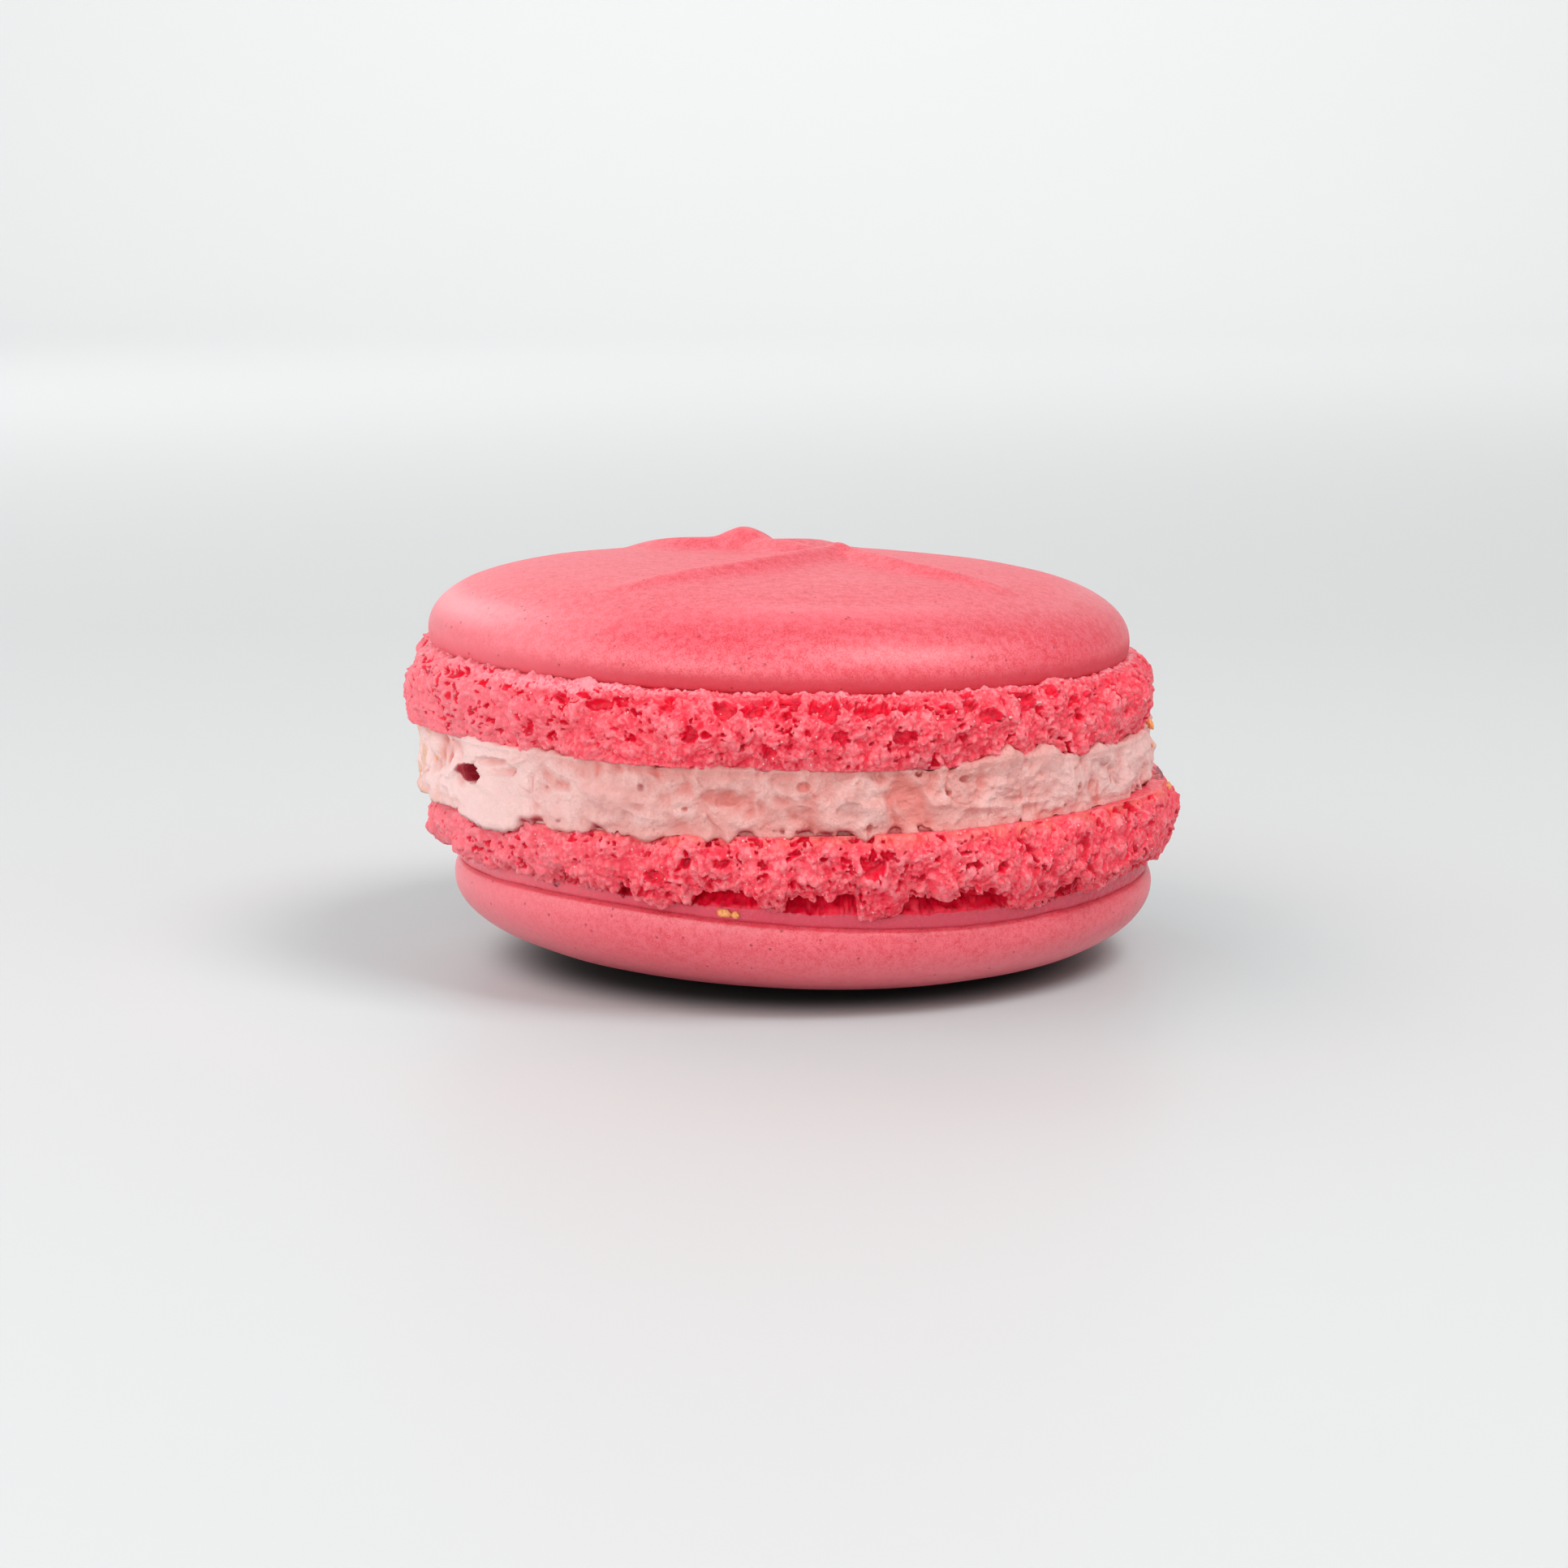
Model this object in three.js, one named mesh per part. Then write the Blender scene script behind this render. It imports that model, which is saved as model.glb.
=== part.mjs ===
// A french macaron: two baked meringue shells, each a smooth skinned cap on a ruffled, porous foot,
// laid bond face to bond face with a disc of buttercream between them. The lower shell lies upside
// down and rests on the flattened middle of its own cap.
// Millimetres, +Z up. The origin is the middle of that flat spot, on the surface it rests on.

import * as THREE from "three";
import { mergeVertices } from "three/addons/utils/BufferGeometryUtils.js";

// ---- Driving dimensions -------------------------------------------------------------------------

const CAP_RADIUS = 21.1; // the skin's widest ring, the equator of a cap
const REST_RADIUS = 7.0; // the flat spot that the lower cap rests on
const LOWER_BOND_Z = 10.75; // where the lower shell meets the filling
const UPPER_BOND_Z = 14.41; // where the filling meets the upper shell
const BOND_GAP = 0.3; // clearance between each shell and the filling

// Each shell in its own frame: bond face at height 0, cap up. Azimuths are in degrees from the
// front, and a lean is the angle in degrees at which a level rises towards +X.
const UPPER_SHELL = {
  footHeight: 4.08, // bond face to the crease where the skin begins
  neckHeight: 0.45, // the smooth band between the crease and the ruffles
  lipRadius: 21.95, // the foot's edge at the bond face
  footRadius: 22.5, // the foot's widest ring
  ledgeRadius: 21.25, // the foot where its ruffles end
  widestAt: 0.6, // share of the ruffles' height at which they are widest
  equatorRise: 0.95, // crease to equator
  domeRise: 3.95, // the rounded part of the cap above its equator
  coneRise: 0.65, // the slack, tent-like part that lifts to the middle
  shoulderPower: 1.8, // squareness of the ruffles' shoulder
  bondLean: -0.95,
  creaseLean: -1.15,
  creaseWave: { height: 0.1, lobes: 2, azimuth: -75 },
  seed: 3,
};
const LOWER_SHELL = {
  footHeight: 5.09,
  neckHeight: 1.3,
  lipRadius: 22.1,
  footRadius: 22.6,
  ledgeRadius: 21.75,
  widestAt: 0.35,
  equatorRise: 0.85,
  domeRise: 4.05,
  coneRise: 1.1,
  shoulderPower: 2.4,
  bondLean: 0.45,
  creaseLean: -1.65,
  creaseWave: { height: 0.33, lobes: 3, azimuth: -20 },
  seed: 11,
};
const SKIN_TUCK = 0.2; // how far the skin curls in below its equator
const CREASE_DEPTH = 0.15; // the crease is this much deeper than the neck beside it
const DOME_POWER = 5.4; // squareness of a cap's shoulder

const FILLING_RADIUS = 22.15; // the buttercream's edge at mid thickness
const FILLING_SHOULDER = 0.35; // how far the edge draws in at its two faces

// How far each piece sits from the middle of the flat spot, towards +X.
const FILLING_SHIFT = -1.0;
const UPPER_SHIFT = -1.4;

// Relief: [amplitude, grain size] of each layer, coarse to fine.
const FOOT_RELIEF = [[0.3, 6.5], [0.42, 2.7], [0.3, 1.6]];
const LEDGE_RELIEF = [[0.4, 5.0], [0.4, 2.0]]; // the foot's torn edge
const OUTLINE_RELIEF = [[0.3, 15]]; // each shell is a little out of round
const FILLING_RELIEF = [[0.22, 6.0], [0.16, 2.4]];
const FILLING_SEED = 21;
// How much of the foot's relief its edge at the bond face and its neck take.
const LIP_SHARE = 0.6;
const NECK_SHARE = 0.15;

// The tip that the piping bag leaves on the upper cap, and the folds of batter that run out from
// it. Places are from the middle of the cap; a bow is how far a fold's middle swings off its chord.
const TIP = { at: [-1.9, 6.0], height: 0.95, width: 1.6 };
const FOLDS = [
  { from: [3.4, 0.9], to: [-10.2, -13.0], bow: -1.6, height: 0.38, width: 1.3 },
  { from: [3.9, 1.2], to: [13.8, -9.0], bow: 1.2, height: 0.36, width: 1.2 },
  { from: [-1.9, 6.0], to: [4.4, 0.8], bow: 1.0, height: 0.45, width: 1.4 },
  { from: [-2.6, 6.0], to: [-9.4, 9.2], bow: -1.3, height: 0.38, width: 1.3 },
  { from: [-1.6, 7.0], to: [3.2, 15.0], bow: 1.4, height: 0.3, width: 1.5 },
];

// Mesh steps.
const AROUND = 116;
const CAP_STEPS = 10;
const TUCK_STEPS = 2;
const FOOT_STEPS = 6;
const FILLING_STEPS = 6;
const FACE_RING = 0.6; // share of its radius at which a flat face has a ring of vertices

// ---- Smooth value noise -------------------------------------------------------------------------

// A repeatable draw from 0 to 1 for one corner of the noise lattice.
function latticeDraw(i, j, k, seed) {
  const s = Math.sin(i * 127.1 + j * 311.7 + k * 74.7 + seed * 19.19) * 43758.5453;
  return s - Math.floor(s);
}

// Noise from -1 to 1: the draws at the eight corners of a lattice cell, blended smoothly.
function noise(point, grain, seed) {
  const place = point.clone().divideScalar(grain);
  const cell = place.clone().floor();
  const blend = place.sub(cell).toArray().map((t) => t * t * (3 - 2 * t));
  let sum = 0;
  for (const i of [0, 1]) {
    for (const j of [0, 1]) {
      for (const k of [0, 1]) {
        const [wx, wy, wz] = [i, j, k].map((side, axis) => (side ? blend[axis] : 1 - blend[axis]));
        sum += wx * wy * wz * latticeDraw(cell.x + i, cell.y + j, cell.z + k, seed);
      }
    }
  }
  return 2 * sum - 1;
}

// Several layers of noise, each [amplitude, grain size].
function relief(layers, point, seed) {
  return layers.reduce((sum, [height, grain], n) => sum + height * noise(point, grain, seed + n), 0);
}

// ---- Profiles -----------------------------------------------------------------------------------

// Radius of the ruffles at the share t of their height: a quarter wave from the lip out to the
// widest ring, then a rounded shoulder in to the ledge.
function ruffleRadius(shell, t) {
  const { lipRadius, footRadius, ledgeRadius, widestAt, shoulderPower } = shell;
  if (t < widestAt) {
    return lipRadius + (footRadius - lipRadius) * Math.sin((Math.PI / 2) * (t / widestAt));
  }
  const past = (t - widestAt) / (1 - widestAt);
  return ledgeRadius + (footRadius - ledgeRadius) * Math.sqrt(1 - past ** shoulderPower);
}

// Height of the cap above its equator where the radius is the share u of CAP_RADIUS.
function capRise(shell, u) {
  return shell.coneRise * (1 - u) + shell.domeRise * Math.sqrt(Math.max(0, 1 - u ** DOME_POWER));
}

// A shell's outline as stations from the middle of the bond face, out round the foot and the skin,
// to the middle of the cap. Each has a radius r and a height h above the bond face. The other
// values are shares: skin is 0 at the bond face and 1 from the crease on, level is 0 on the flat
// spot, and ruffle, ledge and fold say how much of each relief the station takes. rest is the flat
// spot's radius and its height above the bond face, and the cap is squashed to meet it.
function shellStations(shell, rest) {
  const crease = shell.footHeight;
  const equator = crease + shell.equatorRise;
  const restShare = rest ? rest.radius / CAP_RADIUS : 0;
  const squash = rest ? (rest.height - equator) / capRise(shell, restShare) : 1;
  const creaseRadius = CAP_RADIUS - SKIN_TUCK;
  const ledge = crease - shell.neckHeight;
  const stations = [{ r: 0, h: 0 }, { r: shell.lipRadius * FACE_RING, h: 0 }];
  for (let n = 0; n <= FOOT_STEPS; n += 1) {
    const t = n / FOOT_STEPS;
    const ruffle = n === 0 ? LIP_SHARE : 1;
    stations.push({ r: ruffleRadius(shell, t), h: ledge * t, ruffle, ledge: t ** 2 });
  }
  stations.push({ r: creaseRadius, h: ledge + CREASE_DEPTH, ruffle: NECK_SHARE, ledge: 0.5 });
  stations.push({ r: creaseRadius - CREASE_DEPTH, h: crease });
  // The skin curls out from the crease to the equator.
  for (let n = 0; n <= TUCK_STEPS; n += 1) {
    const turn = (Math.PI / 2) * (n / TUCK_STEPS);
    const curl = 1 - Math.cos(turn);
    stations.push({
      r: creaseRadius + SKIN_TUCK * Math.sin(turn),
      h: crease + THREE.MathUtils.lerp(CREASE_DEPTH, shell.equatorRise, curl),
    });
  }
  // The cap, from the equator in to the middle, or to the edge of the flat spot.
  for (let n = 1; n <= CAP_STEPS; n += 1) {
    const u = Math.sin(THREE.MathUtils.lerp(Math.PI / 2, Math.asin(restShare), n / CAP_STEPS));
    stations.push({ r: CAP_RADIUS * u, h: equator + squash * capRise(shell, u), fold: 1 });
  }
  if (rest) {
    stations.push({ r: 0, h: rest.height });
  }
  for (const station of stations) {
    const beyondRest = (station.r / CAP_RADIUS - restShare) / (1 - restShare);
    const onFlattenedCap = rest && station.h > crease;
    station.skin = Math.min(1, station.h / crease);
    station.level = onFlattenedCap ? THREE.MathUtils.clamp(beyondRest, 0, 1) : 1;
  }
  return stations;
}

// The filling's outline: a disc whose edge swells between its two faces.
function fillingStations() {
  const thickness = UPPER_BOND_Z - LOWER_BOND_Z - BOND_GAP;
  const faceRing = FILLING_RADIUS * FACE_RING;
  const stations = [{ r: 0, h: 0, t: 0 }, { r: faceRing, h: 0, t: 0 }];
  for (let n = 0; n <= FILLING_STEPS; n += 1) {
    const t = n / FILLING_STEPS;
    const swell = Math.sqrt(Math.sin(Math.PI * t));
    const r = FILLING_RADIUS - FILLING_SHOULDER * (1 - swell);
    stations.push({ r, h: thickness * t, t, smear: swell });
  }
  stations.push({ r: faceRing, h: thickness, t: 1 }, { r: 0, h: thickness, t: 1 });
  return stations;
}

// ---- Relief over the lathed forms ---------------------------------------------------------------

// The distance from a point of the cap to a fold's bowed line, and the share of the line's length
// at which the nearest place lies.
function besideFold(fold, place) {
  const start = new THREE.Vector2(...fold.from);
  const along = new THREE.Vector2(...fold.to).sub(start);
  const length = along.length();
  along.normalize();
  const fromStart = place.clone().sub(start);
  const reach = fromStart.dot(along);
  const share = THREE.MathUtils.clamp(reach / length, 0, 1);
  const across = fromStart.cross(along) - fold.bow * Math.sin(Math.PI * share);
  return { distance: Math.hypot(across, reach - share * length), share };
}

// The height that the tip and the folds add at a point of the upper cap. Where they meet they
// blend as the root of their squares, so that a meeting stands little higher than its highest.
function pipingRelief(x, y) {
  const place = new THREE.Vector2(x, y);
  const fromTip = place.distanceTo(new THREE.Vector2(...TIP.at));
  const heights = [TIP.height * Math.exp(-((fromTip / TIP.width) ** 2))];
  for (const fold of FOLDS) {
    const { distance, share } = besideFold(fold, place);
    heights.push(fold.height * (1 - share ** 3) * Math.exp(-((distance / fold.width) ** 2)));
  }
  return Math.hypot(...heights);
}

// The slope of a lean given in degrees.
const slope = (lean) => Math.tan(THREE.MathUtils.degToRad(lean));

// Pushes a point away from the Z axis by a distance.
function pushOut(point, distance) {
  const radius = Math.hypot(point.x, point.y);
  if (radius > 0) {
    point.x *= 1 + distance / radius;
    point.y *= 1 + distance / radius;
  }
}

// Turns stations into a closed lathed solid about +Z. shape moves each vertex, given its station.
function lathe(stations, shape) {
  const outline = stations.map(({ r, h }) => new THREE.Vector2(r, h));
  const geometry = new THREE.LatheGeometry(outline, AROUND).rotateX(Math.PI / 2);
  geometry.deleteAttribute("normal");
  geometry.deleteAttribute("uv");
  const position = geometry.getAttribute("position");
  const point = new THREE.Vector3();
  for (let n = 0; n < position.count; n += 1) {
    point.fromBufferAttribute(position, n);
    shape(point, stations[n % stations.length]);
    position.setXYZ(n, point.x, point.y, point.z);
  }
  const solid = mergeVertices(geometry, 1e-4);
  solid.computeVertexNormals();
  return solid;
}

// One baked shell, bond face down, its cap up. pipingHeight is what the piping adds to the cap.
function shellGeometry(shell, rest, pipingHeight) {
  const { height, lobes, azimuth: crest } = shell.creaseWave;
  return lathe(shellStations(shell, rest), (point, station) => {
    const { skin, level, ruffle = 0, ledge = 0, fold = 0 } = station;
    const from = point.clone();
    const azimuth = Math.atan2(from.x, -from.y);
    const rim = Math.min(1, Math.hypot(from.x, from.y) / CAP_RADIUS) ** 4;
    const wave = height * Math.cos(lobes * (azimuth - THREE.MathUtils.degToRad(crest)));
    const lean = THREE.MathUtils.lerp(slope(shell.bondLean), slope(shell.creaseLean), skin);
    pushOut(point, ruffle * relief(FOOT_RELIEF, from, shell.seed));
    pushOut(point, rim * relief(OUTLINE_RELIEF, from, shell.seed + 7));
    point.z += level * (lean * point.x + skin * rim * wave);
    point.z += ledge * relief(LEDGE_RELIEF, from, shell.seed + 5);
    point.z += fold * pipingHeight(from.x, from.y);
  });
}

// The filling, its lower face at height 0. Its two faces lean as the shells' bond faces do.
function fillingGeometry() {
  return lathe(fillingStations(), (point, { t, smear = 0 }) => {
    const lean = THREE.MathUtils.lerp(slope(LOWER_SHELL.bondLean), slope(UPPER_SHELL.bondLean), t);
    pushOut(point, smear * relief(FILLING_RELIEF, point.clone(), FILLING_SEED));
    point.z += lean * point.x;
  });
}

// ---- Materials ----------------------------------------------------------------------------------

const baked = (colour) => new THREE.MeshStandardMaterial({ color: colour, roughness: 0.55, metalness: 0 });
const upperShellMaterial = baked(0xf0626f);
const lowerShellMaterial = baked(0xe65c6b);
const fillingMaterial = new THREE.MeshStandardMaterial({ color: 0xf0beb6, roughness: 0.5, metalness: 0 });

// ---- The macaron --------------------------------------------------------------------------------

const upperShell = new THREE.Mesh(shellGeometry(UPPER_SHELL, null, pipingRelief), upperShellMaterial);
upperShell.name = "shell_upper";
upperShell.position.set(UPPER_SHIFT, 0, UPPER_BOND_Z + BOND_GAP / 2);

const filling = new THREE.Mesh(fillingGeometry(), fillingMaterial);
filling.name = "filling";
filling.position.set(FILLING_SHIFT, 0, LOWER_BOND_Z + BOND_GAP / 2);

// The lower shell is turned over about the Y axis, which puts its cap down and its left at right.
const flatSpot = { radius: REST_RADIUS, height: LOWER_BOND_Z - BOND_GAP / 2 };
const lowerShell = new THREE.Mesh(shellGeometry(LOWER_SHELL, flatSpot, () => 0), lowerShellMaterial);
lowerShell.name = "shell_lower";
lowerShell.rotation.y = Math.PI;
lowerShell.position.set(0, 0, flatSpot.height);

const macaron = new THREE.Group();
macaron.name = "macaron";
macaron.add(lowerShell, filling, upperShell);

export default macaron;
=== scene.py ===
"""A french macaron's looks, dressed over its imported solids: two baked almond meringue shells, each a
satin cap on a torn, porous foot, a disc of whipped buttercream between them, and a few crumbs.
The shapes are worked out in millimetres in the frame's axes, and written in metres. Azimuths run
from the front, -Y, towards +X."""

import math
from dataclasses import dataclass

import bpy
import numpy as np
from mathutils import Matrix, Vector


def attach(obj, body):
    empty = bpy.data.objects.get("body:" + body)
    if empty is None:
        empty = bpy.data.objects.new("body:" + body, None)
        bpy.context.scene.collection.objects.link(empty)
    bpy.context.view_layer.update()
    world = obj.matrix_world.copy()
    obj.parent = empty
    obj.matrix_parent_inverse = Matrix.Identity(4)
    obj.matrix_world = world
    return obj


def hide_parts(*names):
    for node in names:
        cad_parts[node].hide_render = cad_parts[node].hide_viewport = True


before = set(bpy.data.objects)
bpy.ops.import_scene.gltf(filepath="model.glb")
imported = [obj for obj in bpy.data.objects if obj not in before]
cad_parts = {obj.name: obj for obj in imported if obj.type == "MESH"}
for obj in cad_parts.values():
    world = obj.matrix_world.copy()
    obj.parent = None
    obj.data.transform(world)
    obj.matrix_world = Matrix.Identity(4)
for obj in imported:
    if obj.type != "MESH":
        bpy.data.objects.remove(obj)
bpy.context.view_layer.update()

bl_info = {
    "name": "French macaron",
    "version": (1, 0, 0),
    "blender": (4, 5, 0),
    "location": "3D View > Sidebar > Macaron",
    "description": "Builds a filled french macaron: caps, porous feet, buttercream and crumbs",
    "category": "Add Mesh",
}

MM = 0.001
BODY = "root"

# ---- Sizes of the solids that the pieces dress ---------------------------------------------------

# What is added to a shell's own seed for each of its noises.
SEEDS = {"ledge": 5, "outline": 7, "skin": 30, "edge": 40, "cave": 42, "sill": 43, "ragged": 50,
         "fine": 59, "granules": 60, "torn": 80, "bubbles": 81}


@dataclass
class BakedHalf:
    """One shell in its own frame: bond face at height 0, cap up. Leans are in degrees."""

    foot_height: float  # bond face to the crease where the skin begins
    lip_radius: float  # the foot's edge at the bond face
    foot_radius: float  # the foot's widest ring
    ledge_radius: float  # the foot where its ruffles end
    widest_at: float  # share of the ruffles' height at which they are widest
    equator_rise: float  # crease to the cap's widest ring
    dome_rise: float  # the rounded part of the cap above that ring
    cone_rise: float  # the slack part that lifts to the middle
    shoulder_power: float  # squareness of the ruffles' shoulder
    bond_lean: float
    crease_lean: float
    wave: tuple  # the crease's height, lobes and azimuth of a crest
    seed: int
    bond_z: float  # where the bond face lies in the frame
    shift: float  # how far the shell sits towards +X
    turned: bool  # turned over about the Y axis

    def seed_of(self, noise_name):
        """The seed of one of this shell's noises."""
        return self.seed + SEEDS[noise_name]


UPPER = BakedHalf(
    foot_height=4.08, lip_radius=21.95, foot_radius=22.5, ledge_radius=21.25,
    widest_at=0.6, equator_rise=0.95, dome_rise=3.95, cone_rise=0.65, shoulder_power=1.8,
    bond_lean=-0.95, crease_lean=-1.15, wave=(0.1, 2, -75), seed=3,
    bond_z=14.41, shift=-1.4, turned=False,
)
LOWER = BakedHalf(
    foot_height=5.09, lip_radius=22.1, foot_radius=22.6, ledge_radius=21.75,
    widest_at=0.35, equator_rise=0.85, dome_rise=4.05, cone_rise=1.1, shoulder_power=2.4,
    bond_lean=0.45, crease_lean=-1.65, wave=(0.33, 3, -20), seed=11,
    bond_z=10.75, shift=0.0, turned=True,
)
CAP_RADIUS = 21.1
REST_RADIUS = 7.0
SKIN_TUCK = 0.2
CREASE_DEPTH = 0.15
NECK_RADIUS = CAP_RADIUS - SKIN_TUCK
DOME_POWER = 5.4
FILLING_RADIUS = 22.15
FILLING_SHOULDER = 0.35
FILLING_SHIFT = -1.0
FILLING_POWER = 0.22

# Relief that the solids carry too: (height, grain size) of each layer, coarse to fine.
FOOT_RELIEF = ((0.3, 6.5), (0.42, 2.7), (0.3, 1.6))
LEDGE_RELIEF = ((0.4, 5.0), (0.4, 2.0))
OUTLINE_RELIEF = ((0.3, 15.0),)
FILLING_RELIEF = ((0.22, 6.0), (0.16, 2.4))
FILLING_SEED = 21
LIP_SHARE = 0.6
NECK_SHARE = 0.15

# Mesh steps.
AROUND = 1440
CAP_AROUND = 720
FRONT_CROWDING = 0.33  # the columns stand closer at the front, and wider apart at the back
FOOT_ROWS = {False: (60, 1, 1, 1), True: (44, 3, 8, 6)}  # ruffles, roof, wall and neck, turned or not
CAP_ROWS = 96
TUCK_ROWS = 6
CREAM_ROWS = 60

# ---- Smooth noise --------------------------------------------------------------------------------


def lattice_draw(cell, seed):
    """A repeatable draw from 0 to 1 for each lattice corner (i, j, k): the fraction of
    43758.5453 sin(127.1 i + 311.7 j + 74.7 k + 19.19 seed)."""
    s = np.sin(cell @ np.array([127.1, 311.7, 74.7]) + seed * 19.19) * 43758.5453
    return s - np.floor(s)


def noise(place, grain, seed):
    """From -1 to 1: the draws at the corners of each place's lattice cell, blended by 3t^2 - 2t^3."""
    spot = place / grain
    cell = np.floor(spot)
    blend = spot - cell
    blend = blend * blend * (3 - 2 * blend)
    total = 0
    for corner in np.ndindex(2, 2, 2):
        share = np.prod(np.where(corner, blend, 1 - blend), axis=-1)
        total = total + share * lattice_draw(cell + corner, seed)
    return 2 * total - 1


def relief(layers, place, seed):
    """The sum of several layers of noise, each (height, grain)."""
    return sum(height * noise(place, grain, seed + n) for n, (height, grain) in enumerate(layers))


def lumps(layers, place, seed):
    """Round lumps with tight creases between them: height (2 |noise| - 0.6) for each layer."""
    each = (height * (2 * np.abs(noise(place, grain, seed + n)) - 0.6)
            for n, (height, grain) in enumerate(layers))
    return sum(each)


def warped(place, reach, grain, seed):
    """The places pushed about by three noises of that grain, up to reach each way."""
    return place + reach * np.stack([noise(place, grain, seed + 0.3 * n) for n in range(3)], axis=-1)


def tumbled(place):
    """The places turned by a half radian about each axis, so that fine grain doesn't line up."""
    c, s = math.cos(0.5), math.sin(0.5)
    about_x = np.array([[1, 0, 0], [0, c, -s], [0, s, c]])
    about_z = np.array([[c, -s, 0], [s, c, 0], [0, 0, 1]])
    return place @ about_x @ about_z


def torn_pores(place, boost, threshold, seed):
    """Depth of ragged pores: 0.5 tanh 5x, where a boost plus three noises is x over a threshold."""
    field = boost + relief(((0.42, 1.0), (0.5, 0.45), (0.45, 0.21)), place, seed)
    return 0.5 * np.tanh(5 * np.maximum(field - threshold, 0))


def bubbles(place, grain, chance, radii, seed):
    """Depth of the bubbles that a surface cuts. A share of the cubes of side grain holds one, its
    radius drawn between radii, small ones more often. At distance d from a centre the bowl is
    R sqrt(1 - d^2 / R^2) deep, and the deepest bowl counts."""
    spot = place / grain
    home = np.floor(spot)
    depth = np.zeros(spot.shape[:-1])
    for step in np.ndindex(3, 3, 3):
        cube = home + step - 1
        centre = cube + np.stack([lattice_draw(cube, seed + 0.37 * n) for n in (1, 2, 3)], axis=-1)
        distance = np.linalg.norm(spot - centre, axis=-1) * grain
        there = lattice_draw(cube, seed + 5) < chance
        radius = radii[0] + (radii[1] - radii[0]) * lattice_draw(cube, seed + 7) ** 2
        depth = np.maximum(depth, there * radius * np.sqrt(np.clip(1 - (distance / radius) ** 2, 0, 1)))
    return depth


def ease(value, low, high):
    """0 at low, 1 at high, 3t^2 - 2t^3 between them and level beyond. low may be the greater."""
    t = np.clip((value - low) / (high - low), 0, 1)
    return t * t * (3 - 2 * t)


def between(value, rise, fall):
    """Eases from 0 to 1 over the span rise, and back to 0 over the span fall."""
    return ease(value, *rise) * ease(value, fall[1], fall[0])


def past(angle, mark, half_turn=math.pi):
    """How far an angle lies past a mark, the short way round: from -half_turn to half_turn."""
    return np.mod(angle - mark + half_turn, 2 * half_turn) - half_turn


# ---- Rings of points -----------------------------------------------------------------------------


def columns(count):
    """Azimuths in radians from the front, closer together there: a - FRONT_CROWDING sin a."""
    a = np.linspace(0, 2 * math.pi, count, endpoint=False)
    return a - FRONT_CROWDING * np.sin(a)


def azimuth_of(points):
    """Each point's azimuth about the Z axis, in radians."""
    return np.arctan2(points[..., 0], -points[..., 1])


def even_shares(outline, count):
    """Shares from 0 to 1 at which outline, a function from a share to (radius, height), is cut
    into count equal lengths."""
    dense = np.linspace(0, 1, 2000)
    radius, height = outline(dense)
    length = np.concatenate([[0], np.cumsum(np.hypot(np.diff(radius), np.diff(height)))])
    return np.interp(np.linspace(0, length[-1], count + 1), length, dense)


def lathed(radius, height, azimuth):
    """Points (r sin a, -r cos a, h) for grids of radius and height, one column for each azimuth."""
    radius, height, azimuth = np.broadcast_arrays(radius, height, azimuth[None, :])
    return np.stack([radius * np.sin(azimuth), -radius * np.cos(azimuth), height], axis=-1)


def outward(points):
    """Unit normals of a grid of rings: the way round crossed with the way on to the next ring."""
    around = np.roll(points, -1, axis=1) - np.roll(points, 1, axis=1)
    normal = np.cross(around, np.gradient(points, axis=0))
    return normal / np.maximum(np.linalg.norm(normal, axis=-1, keepdims=True), 1e-9)


def push_out(points, distance):
    """Moves points away from the Z axis by a distance."""
    flat = points * [1, 1, 0]
    radius = np.maximum(np.linalg.norm(flat, axis=-1, keepdims=True), 1e-9)
    return points + flat / radius * distance[..., None]


def lift(points, distance):
    """Moves points up by a distance."""
    return points + distance[..., None] * np.array([0, 0, 1])


def stack_rows(*parts):
    """Stacks (radius, height) grids, ring by ring, into two grids of one width."""
    width = max(np.broadcast(r, h).shape[-1] for r, h in parts)
    pairs = [np.broadcast_arrays(r, h, np.zeros((1, width)))[:2] for r, h in parts]
    return (np.concatenate([pair[n] for pair in pairs]) for n in (0, 1))


def placed(shell, points):
    """A shell's points moved from its own frame to the row's: turned over about Y where it lies
    upside down, shifted along X and set on its bond face's height."""
    turn = np.array([-1, 1, -1]) if shell.turned else np.array([1, 1, 1])
    return points * turn + np.array([shell.shift, 0, shell.bond_z])


def pressed(azimuth, height, marks, radius, ragged):
    """Depth of dents and holes pressed at chosen places. Each mark is (azimuth in degrees, height,
    half width, half height, depth). At the share d of its reach it is depth sqrt(1 - d^2) deep,
    and ragged pushes its outline in and out. The deepest counts."""
    depth = np.zeros(np.broadcast(azimuth, height).shape)
    for at, z, wide, tall, deep in marks:
        across = past(azimuth, math.radians(at)) * radius
        reach = np.hypot(across / wide, (height - z) / tall) + ragged
        depth = np.maximum(depth, deep * np.sqrt(np.clip(1 - reach**2, 0, 1)))
    return depth


def beside(x, y, start, end, bow):
    """Where places lie about a line from start to end, its middle bowed to its left: how far
    across it, how far beyond its ends, and the share of the way along it."""
    way = np.subtract(end, start)
    span = np.linalg.norm(way)
    way = way / span
    x, y = x - start[0], y - start[1]
    reach = x * way[0] + y * way[1]
    share = np.clip(reach / span, 0, 1)
    across = y * way[0] - x * way[1] - bow * np.sin(math.pi * share)
    return across, reach - share * span, share


# ---- Meshes --------------------------------------------------------------------------------------


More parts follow.
